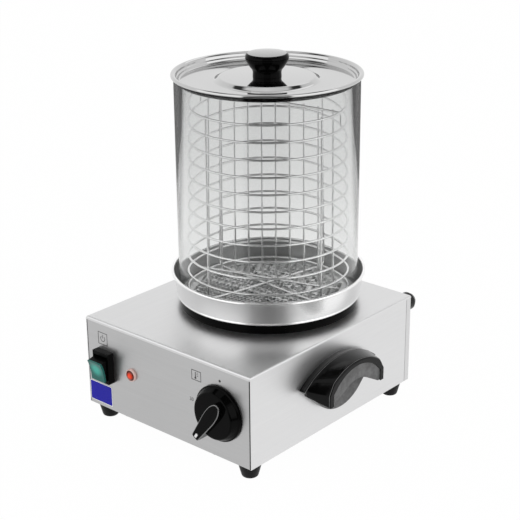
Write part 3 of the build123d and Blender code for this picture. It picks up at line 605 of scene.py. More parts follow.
@dataclass(frozen=True)
class ClearGlass(Finish):
    """A clear tube with painted shade: tinted darker towards its upper end, and blended to a near-black
    shader where the eye meets it edge-on, more so towards the top; with faint wipe marks.
    """

    heights: Span = (150.0, 330.0)
    edge: Span = (0.66, 0.86)
    edge_low: float = 0.05
    edge_more: float = 0.80
    low_tint: Point = (0.91, 0.915, 0.912)
    painted_top_shade_tint: Point = (0.78, 0.785, 0.783)
    ior: float = 1.3
    wipe_scale: float = 0.03
    wipe_stretch: Point = (1.0, 1.0, 0.25)
    wiped: Span = (0.55, 0.9)
    wiped_rough: float = 0.03
    painted_edge_shade_tone: float = 0.01
    dark_rough: float = 0.5
    dark_ior: float = 1.2

    def make(self, net: Net) -> bpy.types.Material:
        """Painted shade: a darker tint by height, and a near-black edge by facing that grows with height;
        wipe marks in the gloss.

        Args:
            net: The nodes.

        Returns:
            The material.
        """
        facing = net.node("ShaderNodeLayerWeight", {"Blend": 0.5}, "Facing")
        high = net.ramp(net.split(net.place())[2], *self.heights)
        wipe = net.noise(net.place(self.wipe_stretch), self.wipe_scale, 4.0)
        # Painted shade: the tint turns darker towards the top.
        clear = net.principled({
            "Base Color": net.mix(high, self.low_tint, self.painted_top_shade_tint),
            "Roughness": net.ramp(wipe, *self.wiped, 0.0, self.wiped_rough),
            "Transmission Weight": 1.0, "IOR": self.ior})
        # Painted shade: a near-black shader for the edge-on rims, mixed in more towards the top.
        dark = net.principled({"Base Color": self.painted_edge_shade_tone, "Roughness": self.dark_rough,
                               "IOR": self.dark_ior})
        share = net.ramp(facing, *self.edge) * (self.edge_low + high * self.edge_more)
        return net.surface(net.node("ShaderNodeMixShader", {0: share, 1: clear, 2: dark}))


@dataclass(frozen=True)
class Lens(Finish):
    """Tinted clear plastic over a small lamp."""

    colour: Any = (0.02, 0.5, 0.4)
    glow: float = 0.25
    deep: Any = (0.01, 0.25, 0.2)
    centre: Point = (0, 0, 0)
    reach: float = 8.0
    heart: float = 0.2
    rough: float = 0.12
    cloud_scale: float = 0.4
    cloud_rough: float = 0.08
    coat: float = 0.15
    coat_rough: float = 0.04
    specular: float = 0.25
    ior: float = 1.49

    def make(self, net: Net) -> bpy.types.Material:
        """Lighter at the middle, where the lamp sits, as the lamp's light painted into the colour besides its
        glow, and deeper at the rim.

        Args:
            net: The nodes.

        Returns:
            The material.
        """
        far = norm(*net.split(net.place(centre=self.centre)))
        cloud = net.noise(net.place(), self.cloud_scale, 3.0)
        # Painted light: the lamp's brightness is painted into the colour, lighter at the middle.
        body = net.mix(net.ramp(far, self.reach * self.heart, self.reach), self.colour, self.deep)
        return net.finish({
            "Base Color": body, "Emission Color": body, "Emission Strength": self.glow,
            "Roughness": self.rough + cloud.sway(self.cloud_rough),
            "Coat Weight": self.coat, "Coat Roughness": self.coat_rough,
            "Specular IOR Level": self.specular, "IOR": self.ior})


@dataclass(frozen=True)
class Ink(Finish):
    """Paint or screen-printed marks, and painted shade in the panel's gaps."""

    colour: Any = 0.06
    rough: float = 0.5
    cloud_scale: float = 1.5
    cloud_rough: float = 0.15
    thin: Span = (0.45, 0.8)
    fade: Span = (1.25, 0.02)
    relief: float = 0.05
    bump_depth: float = 0.02
    specular: float = 0.2

    def make(self, net: Net) -> bpy.types.Material:
        """Printed colour, or painted shade, with a slightly uneven coat.

        Args:
            net: The nodes.

        Returns:
            The material.
        """
        cloud = net.noise(net.place(), self.cloud_scale, 3.0)
        faded = lighter(self.colour, *self.fade)
        return net.finish({
            "Base Color": net.mix(net.ramp(cloud, *self.thin), self.colour, faded),
            "Roughness": self.rough + cloud.sway(self.cloud_rough),
            "Normal": net.bump(cloud, self.relief, self.bump_depth), "Specular IOR Level": self.specular})


def turned_about(axis: str, degrees: float) -> Matrix:
    """A rotation about X, Y or Z."""
    return Matrix.Rotation(math.radians(degrees), 4, axis)


def shifted(x: float, y: float, z: float) -> Matrix:
    """A translation."""
    return Matrix.Translation((x, y, z))


def verts_in(geom: Iterable[Any]) -> list[Any]:
    """The vertices among mesh parts."""
    return [g for g in geom if isinstance(g, bmesh.types.BMVert)]


def edges_in(geom: Iterable[Any]) -> list[Any]:
    """The edges among mesh parts."""
    return [g for g in geom if isinstance(g, bmesh.types.BMEdge)]


def edges_at(verts: Iterable[Any]) -> list[Any]:
    """The edges that meet at vertices, each once."""
    return list({e for v in verts for e in v.link_edges})


def loop_in(geom: Iterable[Any]) -> list[Any]:
    """The edges among mesh parts whose two ends are among them too."""
    ends = set(verts_in(geom))
    return [e for e in edges_in(geom) if all(v in ends for v in e.verts)]


def box_of(name: str) -> list[Vector]:
    """The lower and the upper corner of one of the frame's nodes, in millimetres."""
    return [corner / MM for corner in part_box(name)]


def show(name: str, data: Any) -> bpy.types.Object:
    """Put a new object with its data into the scene.

    Args:
        name: The object's name.
        data: Its mesh, light, camera or curve.

    Returns:
        The object.
    """
    made = bpy.data.objects.new(name, data)
    bpy.context.scene.collection.objects.link(made)
    return made


def dress(finishes: dict[str, Finish]) -> None:
    """Give carried-over nodes their finishes.

    Args:
        finishes: The finish of each node, by the node's name.
    """
    for name, finish in finishes.items():
        node = bpy.data.objects[name]
        node.data.materials.clear()
        node.data.materials.append(finish.material())
        LOG.info("node %s: %s", name, finish.name)


class Form:
    """A mesh in the making, in millimetres, shaped by bmesh operators."""

    def __init__(self) -> None:
        """Start empty."""
        self.bm = bmesh.new()

    @classmethod
    def of_node(cls, name: str) -> "Form":
        """Copy one of the frame's nodes, in millimetres, with its loose triangles merged.

        Args:
            name: The node's name.

        Returns:
            The form.
        """
        form = cls()
        form.bm.from_mesh(bpy.data.objects[name].data)
        bmesh.ops.scale(form.bm, vec=(1 / MM, 1 / MM, 1 / MM), verts=form.bm.verts)
        bmesh.ops.remove_doubles(form.bm, verts=form.bm.verts, dist=LOOSE)
        bmesh.ops.dissolve_limit(form.bm, angle_limit=math.radians(1.0), use_dissolve_boundaries=False,
                                 verts=form.bm.verts, edges=form.bm.edges, delimit={"NORMAL"})
        return form

    def chain(self, points: Iterable[Sequence[float]], closed: bool = True, segments: int = 5) -> list[Any]:
        """Draw a line through points (x, y, z, rounding) whose corners are rounded.

        Args:
            points: The corners, each with the length that its rounding takes of its edges.
            closed: Whether the last point joins the first.
            segments: Facets of a rounded corner.

        Returns:
            The line's vertices and edges.
        """
        before = set(self.bm.verts)
        points = list(points)
        verts = [self.bm.verts.new(p[:3]) for p in points]
        for pair in zip(verts, verts[1:] + verts[:1] if closed else verts[1:]):
            self.bm.edges.new(pair)
        for vert, (*_, rounding) in zip(verts, points):
            if rounding:
                bmesh.ops.bevel(self.bm, geom=[vert], offset=rounding, offset_type="OFFSET",
                                segments=segments, profile=0.5, affect="VERTICES", material=-1)
        fresh = [v for v in self.bm.verts if v not in before]
        return fresh + edges_at(fresh)

    def circle(self, radius: float, sides: int, place: Matrix) -> list[Any]:
        """Draw a bare round loop, square to the Z of its place; gives its vertices."""
        return bmesh.ops.create_circle(self.bm, cap_ends=False, segments=sides, radius=radius,
                                       matrix=place)["verts"]

    def spin(self, geom: list[Any], angle: float, steps: int, centre: Any = (0, 0, 0),
             axis: Any = (0, 0, 1), merge: bool = False) -> list[Any]:
        """Turn mesh parts about an axis, leaving faces behind them.

        Args:
            geom: The parts.
            angle: How far, in radians.
            steps: Facets on the way.
            centre: A point of the axis.
            axis: The axis's direction.
            merge: Whether a full turn closes on itself.

        Returns:
            The parts that the turn ends in.
        """
        return bmesh.ops.spin(self.bm, geom=geom, cent=centre, axis=axis, dvec=(0, 0, 0), angle=angle,
                              steps=steps, use_merge=merge, use_duplicate=False,
                              use_normal_flip=False)["geom_last"]

    def extrude(self, edges: list[Any], by: Any) -> list[Any]:
        """Draw edges along a vector.

        Args:
            edges: The edges.
            by: The vector.

        Returns:
            The new vertices and edges, with the edges that join them to the old ones.
        """
        made = bmesh.ops.extrude_edge_only(self.bm, edges=edges)["geom"]
        bmesh.ops.translate(self.bm, vec=by, verts=verts_in(made))
        return made

    def lathe(self, points: Iterable[Sequence[float]], steps: int = 128, centre: Point = (0, 0, 0),
              segments: int = 5, closed: bool = True) -> "Form":
        """Turn a half section round an upright axis.

        Args:
            points: Corners as (radius, height, rounding). One that starts and ends on the axis is open.
            steps: Facets round the axis.
            centre: The foot of the axis.
            segments: Facets of a rounded corner.
            closed: Whether the section closes on itself.

        Returns:
            This form.
        """
        before = set(self.bm.verts)
        section = self.chain([(r, 0, z, b) for r, z, b in points], closed, segments)
        self.spin(section, TURN, steps, merge=True)
        bmesh.ops.translate(self.bm, vec=centre, verts=[v for v in self.bm.verts if v not in before])
        return self

    def slab(self, outline: Iterable[Sequence[float]], low: float, high: float,
             segments: int = 5) -> list[Any]:
        """Make a flat outline a solid between two heights.

        Args:
            outline: Corners as (x, y, rounding).
            low: The lower height.
            high: The upper height.
            segments: Facets of a rounded corner.

        Returns:
            The upper face's vertices.
        """
        made = self.chain([(x, y, low, b) for x, y, b in outline], True, segments)
        face = bmesh.ops.contextual_create(self.bm, geom=edges_in(made))["faces"]
        top = bmesh.ops.extrude_face_region(self.bm, geom=face, use_keep_orig=True)["geom"]
        bmesh.ops.translate(self.bm, vec=(0, 0, high - low), verts=verts_in(top))
        return verts_in(top)

    def cube(self, low: Point, high: Point) -> None:
        """Add a box.

        Args:
            low: Its lower corner.
            high: Its upper corner.
        """
        made = bmesh.ops.create_cube(self.bm, size=1.0)["verts"]
        bmesh.ops.scale(self.bm, vec=[h - l for l, h in zip(low, high)], verts=made)
        bmesh.ops.translate(self.bm, vec=[(l + h) / 2 for l, h in zip(low, high)], verts=made)

    def round_edges(self, edges: Iterable[Any], radius: float, clamp: bool = True) -> list[Any]:
        """Round edges off to a radius, held back by short ones if clamped; gives the new faces."""
        return bmesh.ops.bevel(self.bm, geom=list(edges), offset=radius, offset_type="OFFSET", segments=3,
                               profile=0.5, affect="EDGES", material=-1, clamp_overlap=clamp)["faces"]

    def eased(self, radius: float, angle: float = 32.0) -> "Form":
        """Round the sharp outer edges off.

        Args:
            radius: How far the rounding reaches from each edge.
            angle: Edges whose faces meet at more than this, in degrees, are sharp.

        Returns:
            This form.
        """
        sharp = [e for e in self.bm.edges
                 if len(e.link_faces) == 2 and e.calc_face_angle(0.0) > math.radians(angle)]
        self.round_edges([e for e in sharp if e.is_convex and e.calc_length() > radius / 2], radius)
        return self

    def drop(self, edges: list[Any], depth: float, grow: float = 1.0, cap: bool = False) -> list[Any]:
        """Draw a loop of edges down.

        Args:
            edges: The loop.
            depth: How far down.
            grow: How much wider the lower loop is.
            cap: Whether the lower loop is closed by a face.

        Returns:
            The lower loop's edges.
        """
        made = self.extrude(edges, (0, 0, -depth))
        if grow != 1.0:
            bmesh.ops.scale(self.bm, vec=(grow, grow, 1), verts=verts_in(made))
        if cap:
            bmesh.ops.contextual_create(self.bm, geom=loop_in(made))
        return loop_in(made)

    def wire(self, radius: float, sides: int, moves: Iterable["Move"], start: Matrix) -> "Form":
        """Draw a round wire along moves from a start.

        Args:
            radius: The wire's radius.
            sides: Facets round the wire.
            moves: The runs and bends, in order.
            start: The place of its first end, whose Z points along the wire.

        Returns:
            This form.
        """
        before = set(self.bm.verts)
        first = self.circle(radius, sides, start)
        ring, here = edges_at(first), start.copy()
        for move in moves:
            here, ring = move.draw(self, here, ring)
        for end in (list(first), list({v for e in ring for v in e.verts})):
            rim = [e for e in edges_at(end) if all(v in end for v in e.verts)]
            bmesh.ops.contextual_create(self.bm, geom=rim)
        fresh = [v for v in self.bm.verts if v not in before]
        bmesh.ops.remove_doubles(self.bm, verts=fresh, dist=WELD)
        return self

    def move(self, matrix: Matrix, verts: Iterable[Any] | None = None) -> "Form":
        """Move the form, or only some of its vertices, by a matrix; gives the form."""
        bmesh.ops.transform(self.bm, matrix=matrix, verts=list(self.bm.verts if verts is None else verts))
        return self

    def copies(self, places: Iterable[Matrix]) -> "Form":
        """Repeat the form at places and take the first drawn one away.

        Args:
            places: Where the form goes.

        Returns:
            This form.
        """
        origin = list(self.bm.verts) + list(self.bm.edges) + list(self.bm.faces)
        for place in places:
            geom = bmesh.ops.duplicate(self.bm, geom=origin)["geom"]
            bmesh.ops.transform(self.bm, matrix=place, verts=verts_in(geom))
        bmesh.ops.delete(self.bm, geom=verts_in(origin), context="VERTS")
        return self

    def piece(self, name: str, body: Body, slot: Slot, finish: Finish, stands_for: Sequence[str] = (),
              smooth: float = 35.0, even: bool = False) -> bpy.types.Object:
        """Finish the mesh as a piece of the object.

        Args:
            name: The piece's name.
            body: The body that it rides on.
            slot: The record's slot; not used.
            finish: Its finish.
            stands_for: The frame's nodes that it is shown instead of.
            smooth: Edges sharper than this many degrees stay sharp.
            even: Whether large flat faces keep their own normal beside rounded edges.

        Returns:
            The object.
        """
        bmesh.ops.remove_doubles(self.bm, verts=self.bm.verts, dist=WELD)
        bmesh.ops.dissolve_degenerate(self.bm, dist=WELD / 10, edges=self.bm.edges)
        bmesh.ops.recalc_face_normals(self.bm, faces=self.bm.faces)
        bmesh.ops.scale(self.bm, vec=(MM, MM, MM), verts=self.bm.verts)
        mesh = bpy.data.meshes.new(name)
        self.bm.to_mesh(mesh)
        self.bm.free()
        mesh.shade_smooth()
        mesh.set_sharp_from_angle(angle=math.radians(smooth))
        mesh.materials.append(finish.material())
        made = show(name, mesh)
        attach(made, body.value)
        if stands_for:
            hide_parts(*stands_for)
        if even:
            made.modifiers.new("even_normals", "WEIGHTED_NORMAL").keep_sharp = True
        LOG.info("piece %s: %d faces", name, len(mesh.polygons))
        return made


@dataclass(frozen=True)
class Move:
    """A straight run of a wire, or a bend about a point beside it."""

    length: float = 0.0
    turn: float = 0.0
    radius: float = 0.0
    steps: int = 6

    def draw(self, form: Form, here: Matrix, ring: list[Any]) -> tuple[Matrix, list[Any]]:
        """Draw the wire on by this move.

        Args:
            form: The form that the wire is part of.
            here: The place of the wire's open end.
            ring: The edges of that end.

        Returns:
            The new end's place and edges.
        """
        if not self.turn:
            step = here.to_3x3() @ Vector((0, 0, self.length))
            return Matrix.Translation(step) @ here, loop_in(form.extrude(ring, step))
        centre = here @ Vector((self.radius, 0, 0))
        axis = here.to_3x3() @ Vector((0, 1, 0))
        angle = math.radians(self.turn)
        verts = list({v for e in ring for v in e.verts})
        made = form.spin(verts + ring, angle, self.steps, centre, axis)
        turned = Matrix.Translation(centre) @ Matrix.Rotation(angle, 4, axis) @ Matrix.Translation(-centre)
        return turned @ here, loop_in(made)


@dataclass(frozen=True)
class Datum:
    """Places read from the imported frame, in millimetres."""

    axis_y: float
    top_z: float
    front_y: float
    rear_y: float

    @classmethod
    def read(cls) -> "Datum":
        """Read the boxes of the casing, the rear panel and the glass.

        Returns:
            The places.
        """
        low, high = box_of("casing")
        glass_low, glass_high = box_of("glass_cylinder")
        return cls((glass_low.y + glass_high.y) / 2, high.z, low.y, box_of("rear_panel")[1].y)

    @property
    def front(self) -> Matrix:
        """The control panel's own place: X to the right, Y up from the casing's top, Z outwards."""
        return Matrix(((1, 0, 0, 0), (0, 0, -1, self.front_y), (0, 1, 0, self.top_z), (0, 0, 0, 1)))

    @property
    def rear(self) -> Matrix:
        """The rear panel's own place: X to the left, Y up from the casing's top, Z outwards."""
        return Matrix(((-1, 0, 0, 0), (0, 0, 1, self.rear_y), (0, 1, 0, self.top_z), (0, 0, 0, 1)))

    @property
    def axis(self) -> Point:
        """The foot of the glass's axis."""
        return (0.0, self.axis_y, 0.0)


STEEL_ACROSS = BrushedSheet("steel_across", Grain.ALONG_X, 0.66, 0.34)
# Painted shade: the control panel's steel is darker than the casing's, for the shade on the front.
SHADED_FRONT_STEEL = BrushedSheet("steel_front_painted_shade", Grain.ALONG_X, 0.54, 0.32)
STEEL_ALONG = BrushedSheet("steel_along", Grain.ALONG_Y, 0.72, 0.36)
ZINC = PlainMetal("zinc_plate", (0.62, 0.63, 0.65), 0.32, 0.6, 1.0, (0.48, 0.49, 0.52))
SHEATH = PlainMetal("element_sheath", (0.20, 0.19, 0.17), 0.5, 0.8, 1.0, (0.30, 0.22, 0.15))
BRASS = PlainMetal("turned_brass", (0.72, 0.52, 0.22), 0.3, 0.6, 1.0, (0.55, 0.40, 0.2))
CHROME = PlainMetal("chrome_wire", 1.0, 0.13, 0.3, 0.82, 0.9, 0.6)
CERAMIC = Moulded("glazed_ceramic", (0.78, 0.76, 0.70), 0.3, 0.8, 0.15, 0.3)
GREY = Moulded("grey_moulding", (0.33, 0.34, 0.35), 0.45, 1.2, 0.15)
SATIN_BLACK = Moulded("satin_moulding", 0.004, 0.30, 1.6, 0.08, ior=1.3)
GLOSS_BLACK = Moulded("gloss_moulding", 0.001, 0.08, 0.6, 0.02, ior=1.14)
CAP_BLACK = Moulded("cap_polish", 0.004, 0.06, 0.6, 0.01, coat=1.0, ior=2.2)
SWITCH_BLACK = Moulded("switch_moulding", 0.001, 0.2, 1.8, 0.05, ior=1.15)
ENAMEL = Moulded("stove_enamel", 0.001, 0.16, 0.7, 0.03, ior=1.12)
RUBBER = Moulded("foot_rubber", 0.003, 0.45, 1.2, 0.20, ior=1.25)
GLASS = ClearGlass("tube_glass")
BLUE = Ink("blue_plate", (0.008, 0.006, 0.34), 0.5)
WHITE = Ink("white_mark", 0.80, 0.45)
COLLAR = Ink("lamp_collar_pale", (0.74, 0.52, 0.48), 0.3)
DARK_INK = Ink("grey_print", 0.045, 0.5)
# Painted shade for the gaps beside the control panel.
SHADE = Ink("seam_shade", 0.008, 0.8)


@dataclass
class Housing:
    """The folded casing, its panels and what is fastened to them."""

    datum: Datum
    foot_low: float = 8.6
    foot_top: float = 13.2
    foot_bore: float = 4.6
    foot_ledge: float = 8.0
    screw_bore: float = 2.15
    seam_w: Span = (0.4, 1.4)
    seam_proud: float = 0.05
    seam_up: float = 0.4
    plate_x: Span = (-119.1, -84.0)
    plate_drop: Span = (76.4, 100.5)
    plate_corner: float = 1.2
    plate_heights: Span = (0.0, 0.25)
    field_inset: float = 0.8
    field_heights: Span = (0.2, 0.32)

    def build(self) -> None:
        """Dress the sheets and make the feet and the bare plate."""
        # The control panel takes the steel painted darker as shade.
        dress({"casing": STEEL_ALONG, "front_panel": SHADED_FRONT_STEEL, "rear_panel": STEEL_ACROSS,
               "base_plate": STEEL_ACROSS, "foot_nuts": ZINC, "gland_nut": GREY})
        self.feet()
        self.slip("plate_edge", 0.0, self.plate_heights, WHITE)
        self.slip("plate_field", self.field_inset, self.field_heights, BLUE)
        self.seams()

    def seams(self) -> None:
        """Painted shade: thin dark strips on the panel's face that stand in for the shadowed gaps between the
        control panel and the casing's front edges.
        """
        low, high = box_of("front_panel")
        form = Form()
        for edge, wide in zip((low.x, high.x), self.seam_w):
            form.cube((edge - wide / 2, low.y - self.seam_proud, low.z + self.seam_up),
                      (edge + wide / 2, low.y + self.seam_proud, high.z))
        form.piece("panel_seams", Body.BASE, Slot.BRUSHED, SHADE)

    def feet(self) -> None:
        """Four tapered rubber feet with a rolled lower edge and a bore for the screw's head."""
        low, high = box_of("rubber_feet")
        middle = (low + high) / 2
        reach = (high - low) / 2 - Vector((self.foot_top, self.foot_top, 0))
        tall = high.z - low.z
        form = Form().lathe([(self.screw_bore, self.foot_ledge, 0), (self.foot_bore, self.foot_ledge, 0.4),
                             (self.foot_bore, 0, 0.6), (self.foot_low, 0, 1.8), (self.foot_top, tall, 0.8),
                             (self.screw_bore, tall, 0)], SMALL)
        form.copies(shifted(across * reach.x, middle.y + deep * reach.y, 0)
                    for across in (-1, 1) for deep in (-1, 1))
        form.piece("feet", Body.BASE, Slot.RUBBER, RUBBER, ["rubber_feet"])

    def slip(self, name: str, inset: float, heights: Span, finish: Finish) -> None:
        """One layer of the bare plate under the switch: its white edge or its blue field.

        Args:
            name: The layer's name.
            inset: How far it keeps from the plate's outline.
            heights: Its lower and upper face, counted from the panel.
            finish: Its finish.
        """
        left, right = self.plate_x[0] + inset, self.plate_x[1] - inset
        low, high = inset - self.plate_drop[1], -self.plate_drop[0] - inset
        form = Form()
        form.slab([(x, y, self.plate_corner)
                   for x, y in ((left, low), (right, low), (right, high), (left, high))], *heights)
        form.move(self.datum.front).piece(name, Body.BASE, Slot.BRUSHED, finish)


@dataclass
class CarryingHandles:
    """The two moulded handles, with their edges eased as a mould leaves them."""

    easing: float = 0.7
    plate_out: float = 7.5
    bead_proud: float = 1.3
    smooth: float = 50.0

    def build(self) -> None:
        """Ease the frame's own shapes and dress them."""
        low, high = box_of("handle_right")
        # The skin paints the faces of the grip and the plate paler, as painted light.
        skin = HandleSkin("handle_moulding_painted_light", high.x - self.bead_proud, low.x + self.plate_out)
        for side in ("left", "right"):
            Form.of_node(f"handle_{side}").eased(self.easing).piece(
                f"grip_{side}", Body.BASE, Slot.PLASTIC, skin, [f"handle_{side}"], self.smooth, True)


@dataclass
class Fasteners:
    """Pan-head screws with a cross recess, at the frame's own places."""

    datum: Datum
    head_r: float = 3.7
    head_h: float = 2.6
    head_sides: int = 24
    shank_r: float = 2.0
    cross_w: float = 1.0
    cross_l: float = 4.4
    cross_d: float = 1.3
    crown: float = 0.78
    crown_h: float = 0.45
    fold: float = 5.7
    base_z: float = 17.5
    panel_length: float = 5.6
    foot_seat: float = 8.0
    foot_length: float = 15.1
    foot_top: float = 13.2

    def build(self) -> None:
        """Screws of the rear panel, the base plate and the feet."""
        dress({"handle_screws": ZINC})
        under = turned_about("X", 180)
        reach = box_of("panel_screws")[1].x - self.head_r
        low = self.base_z - self.datum.top_z + self.fold
        seats = [self.datum.rear @ shifted(s * reach, y, 0) for s in (-1, 1) for y in (-self.fold, low)]
        seats += [shifted(s * reach, self.datum.front_y + self.fold, self.base_z) @ under for s in (-1, 1)]
        self.screw(self.panel_length).copies(seats).piece(
            "cross_screws", Body.BASE, Slot.ZINC, ZINC, ["panel_screws"])
        near, far = box_of("rubber_feet")
        seats = [shifted(x, y, self.foot_seat) @ under
                 for x in (near.x + self.foot_top, far.x - self.foot_top)
                 for y in (near.y + self.foot_top, far.y - self.foot_top)]
        self.screw(self.foot_length).copies(seats).piece(
            "foot_cross_screws", Body.BASE, Slot.ZINC, ZINC, ["foot_screws"])

    def screw(self, length: float) -> Form:
        """One screw along Z, its head on its seat at zero, with a sunk cross.

        Args:
            length: The shank's length.

        Returns:
            The screw.
        """
        form = Form()
        half, long = self.cross_w / 2, self.cross_l / 2
        arm = [(half, half), (long, half), (long, -half)]
        outline = [(turned_about("Z", -90 * k) @ Vector((x, y, 0))).to_2d() for k in range(4) for x, y in arm]
        cross = edges_in(form.chain([(x, y, self.head_h, 0) for x, y in outline]))
        ring = edges_at(form.circle(self.head_r * self.crown, self.head_sides, shifted(0, 0, self.head_h)))
        bmesh.ops.triangle_fill(form.bm, use_beauty=True, use_dissolve=False, edges=cross + ring)
        form.drop(cross, self.cross_d, cap=True)
        side = form.drop(ring, self.head_h * self.crown_h, 1 / self.crown)
        seat = form.drop(side, self.head_h * (1 - self.crown_h))
        neck = form.drop(seat, 0.0, self.shank_r / self.head_r)
        form.drop(neck, length, cap=True)
        return form


@dataclass
class WaterBath:
    """The pan, the black ring on it, the steam tray and its perforated plate."""

    datum: Datum
    ring_out: float = 100.2
    ring_in: float = 93.0
    ring_step: float = 0.6
    ring_ledge: float = 1.3
    tray_hole: float = 80.0
    tray_low: float = 102.4
    tray_foot: float = 0.8
    tray_rim: float = 108.6
    tray_wall: float = 1.5
    tray_bead: float = 3.6
    tray_skirt: Span = (1.4, 2.2)
    floor_up: float = 5.2
    plate_r: float = 92.0
    plate_t: float = 1.2
    plate_steps: int = 128
    hole_zone: float = 80.5
    hole_r: float = 1.9
    hole_pitch: float = 5.2
    sides: int = 6
    plate_smooth: float = 40.0

    def build(self) -> None:
        """Make the ring, the tray and the plate, and dress what lies under the pan.

        The pan itself keeps the frame's own plain steel.
        """
        dress({"heating_element": SHEATH, "element_clamp": ZINC, "clamp_nut": ZINC,
               "thermal_cutout": CERAMIC, "sensor_bulb": BRASS, "bulb_clip": ZINC})
        self.ring()
        self.tray()
        self.plate()

    def ring(self) -> None:
        """The black ring between the casing and the tray."""
        low, high = box_of("seat_ring")
        step = self.ring_in + (self.ring_out - self.ring_in) * self.ring_step
        ledge = low.z + self.ring_ledge
        Form().lathe([(step, low.z, 0), (self.ring_out, low.z, 0.5), (self.ring_out, high.z, 1.6),
                      (self.ring_in, high.z, 0.8), (self.ring_in, ledge, 0.3), (step, ledge, 0)],
                     BROAD, self.datum.axis).piece("support_ring", Body.BASE, Slot.ENAMEL, ENAMEL,
                                                   ["seat_ring"])

    def tray(self) -> None:
        """The spun tray with its rolled rim and lower edge."""
        low, high = box_of("steam_tray")
        floor, lip = low.z + self.floor_up, high.z - self.tray_bead
        thick, foot = self.tray_wall, self.tray_low + self.tray_foot
        rise = (self.tray_rim - thick - self.tray_low) / (lip - low.z)

        def wall(height: float) -> float:
            """The outer wall's radius at a height."""
            return self.tray_low + rise * (height - low.z)

        skirt, bend = (low.z + up for up in self.tray_skirt)
        points = [(self.tray_hole, floor, 0.4), (wall(floor) - thick, floor, 0.8),
                  (self.tray_low - thick, low.z, 0.3), (foot, low.z, 0.5), (foot, skirt, 0.5),
                  (wall(bend), bend, 0.4), (wall(lip), lip, 0.4),
                  (self.tray_rim, lip + 0.4, 1.0), (self.tray_rim, high.z, 1.6),
                  (wall(lip) - thick, high.z, 0.9), (wall(floor + thick) - thick, floor + thick, 2.0),
                  (self.tray_hole, floor + thick, 0.4)]
        spun = SpunTray("tray_spinning", self.datum.axis, low.z, self.tray_low - thick / 2, rise)
        Form().lathe(points, LARGE, self.datum.axis, 4).piece("spun_tray", Body.TRAY, Slot.SPUN, spun,
                                                              ["steam_tray"])

    def plate(self) -> None:
        """The raised plate, punched with close rows of small holes out to a plain margin."""
        low, high = box_of("perforated_plate")
        form = Form()
        row_pitch, outer = self.hole_pitch * math.sqrt(3) / 2, self.hole_pitch / math.sqrt(3)
        rows = int(self.hole_zone / row_pitch) + 1
        for row in range(-rows, rows + 1):
            for col in range(-rows - 2, rows + 3):
                x, y = (col + (row % 2) / 2) * self.hole_pitch, row * row_pitch
                if math.hypot(x, y) < self.hole_zone:
                    self.cell(form, x, y, outer)
        bmesh.ops.remove_doubles(form.bm, verts=form.bm.verts, dist=SEAM)
        rag = [e for e in form.bm.edges if e.is_boundary and e.calc_length() > (outer + self.hole_r) / 2]
        rim = edges_at(form.circle(self.plate_r, self.plate_steps, Matrix()))
        bmesh.ops.triangle_fill(form.bm, use_beauty=True, use_dissolve=False, edges=rag + rim)
        form.extrude([e for e in rim if e.is_valid], (0, 0, low.z - high.z + self.plate_t / 2))
        bmesh.ops.recalc_face_normals(form.bm, faces=form.bm.faces)
        if sum(f.normal.z for f in form.bm.faces) < 0:
            bmesh.ops.reverse_faces(form.bm, faces=form.bm.faces)
        bmesh.ops.solidify(form.bm, geom=form.bm.faces, thickness=self.plate_t)
        tallest = max(v.co.z for v in form.bm.verts)
        form.move(shifted(0, self.datum.axis_y, high.z - tallest))
        steel = TurnedMetal("plate_steel", self.datum.axis, 0.84, 0.40, 0.1)
        form.piece("punched_plate", Body.TRAY, Slot.PAN, steel, ["perforated_plate"],
                   self.plate_smooth)

    def cell(self, form: Form, x: float, y: float, outer: float) -> None:
        """One six-sided cell of the plate round a hole.

        Args:
            form: The plate.
            x: The cell's middle across.
            y: The cell's middle in depth.
            outer: The radius of the cell's corners.
        """
        place = shifted(x, y, 0) @ turned_about("Z", 30)
        loops = [e for r in (outer, self.hole_r) for e in edges_at(form.circle(r, self.sides, place))]
        bmesh.ops.bridge_loops(form.bm, edges=loops)


@dataclass
class GlassTube:
    """The open glass cylinder."""

    datum: Datum
    wall: float = 3.0
    edge: float = 1.1

    def build(self) -> None:
        """Make the tube with fire-polished ends."""
        low, high = box_of("glass_cylinder")
        out = (high.x - low.x) / 2
        Form().lathe([(out - self.wall, low.z, self.edge), (out, low.z, self.edge),
                      (out, high.z, self.edge), (out - self.wall, high.z, self.edge)],
                     LARGE, self.datum.axis, 4).piece("glass_tube", Body.GLASS, Slot.GLASS, GLASS,
                                                      ["glass_cylinder"])


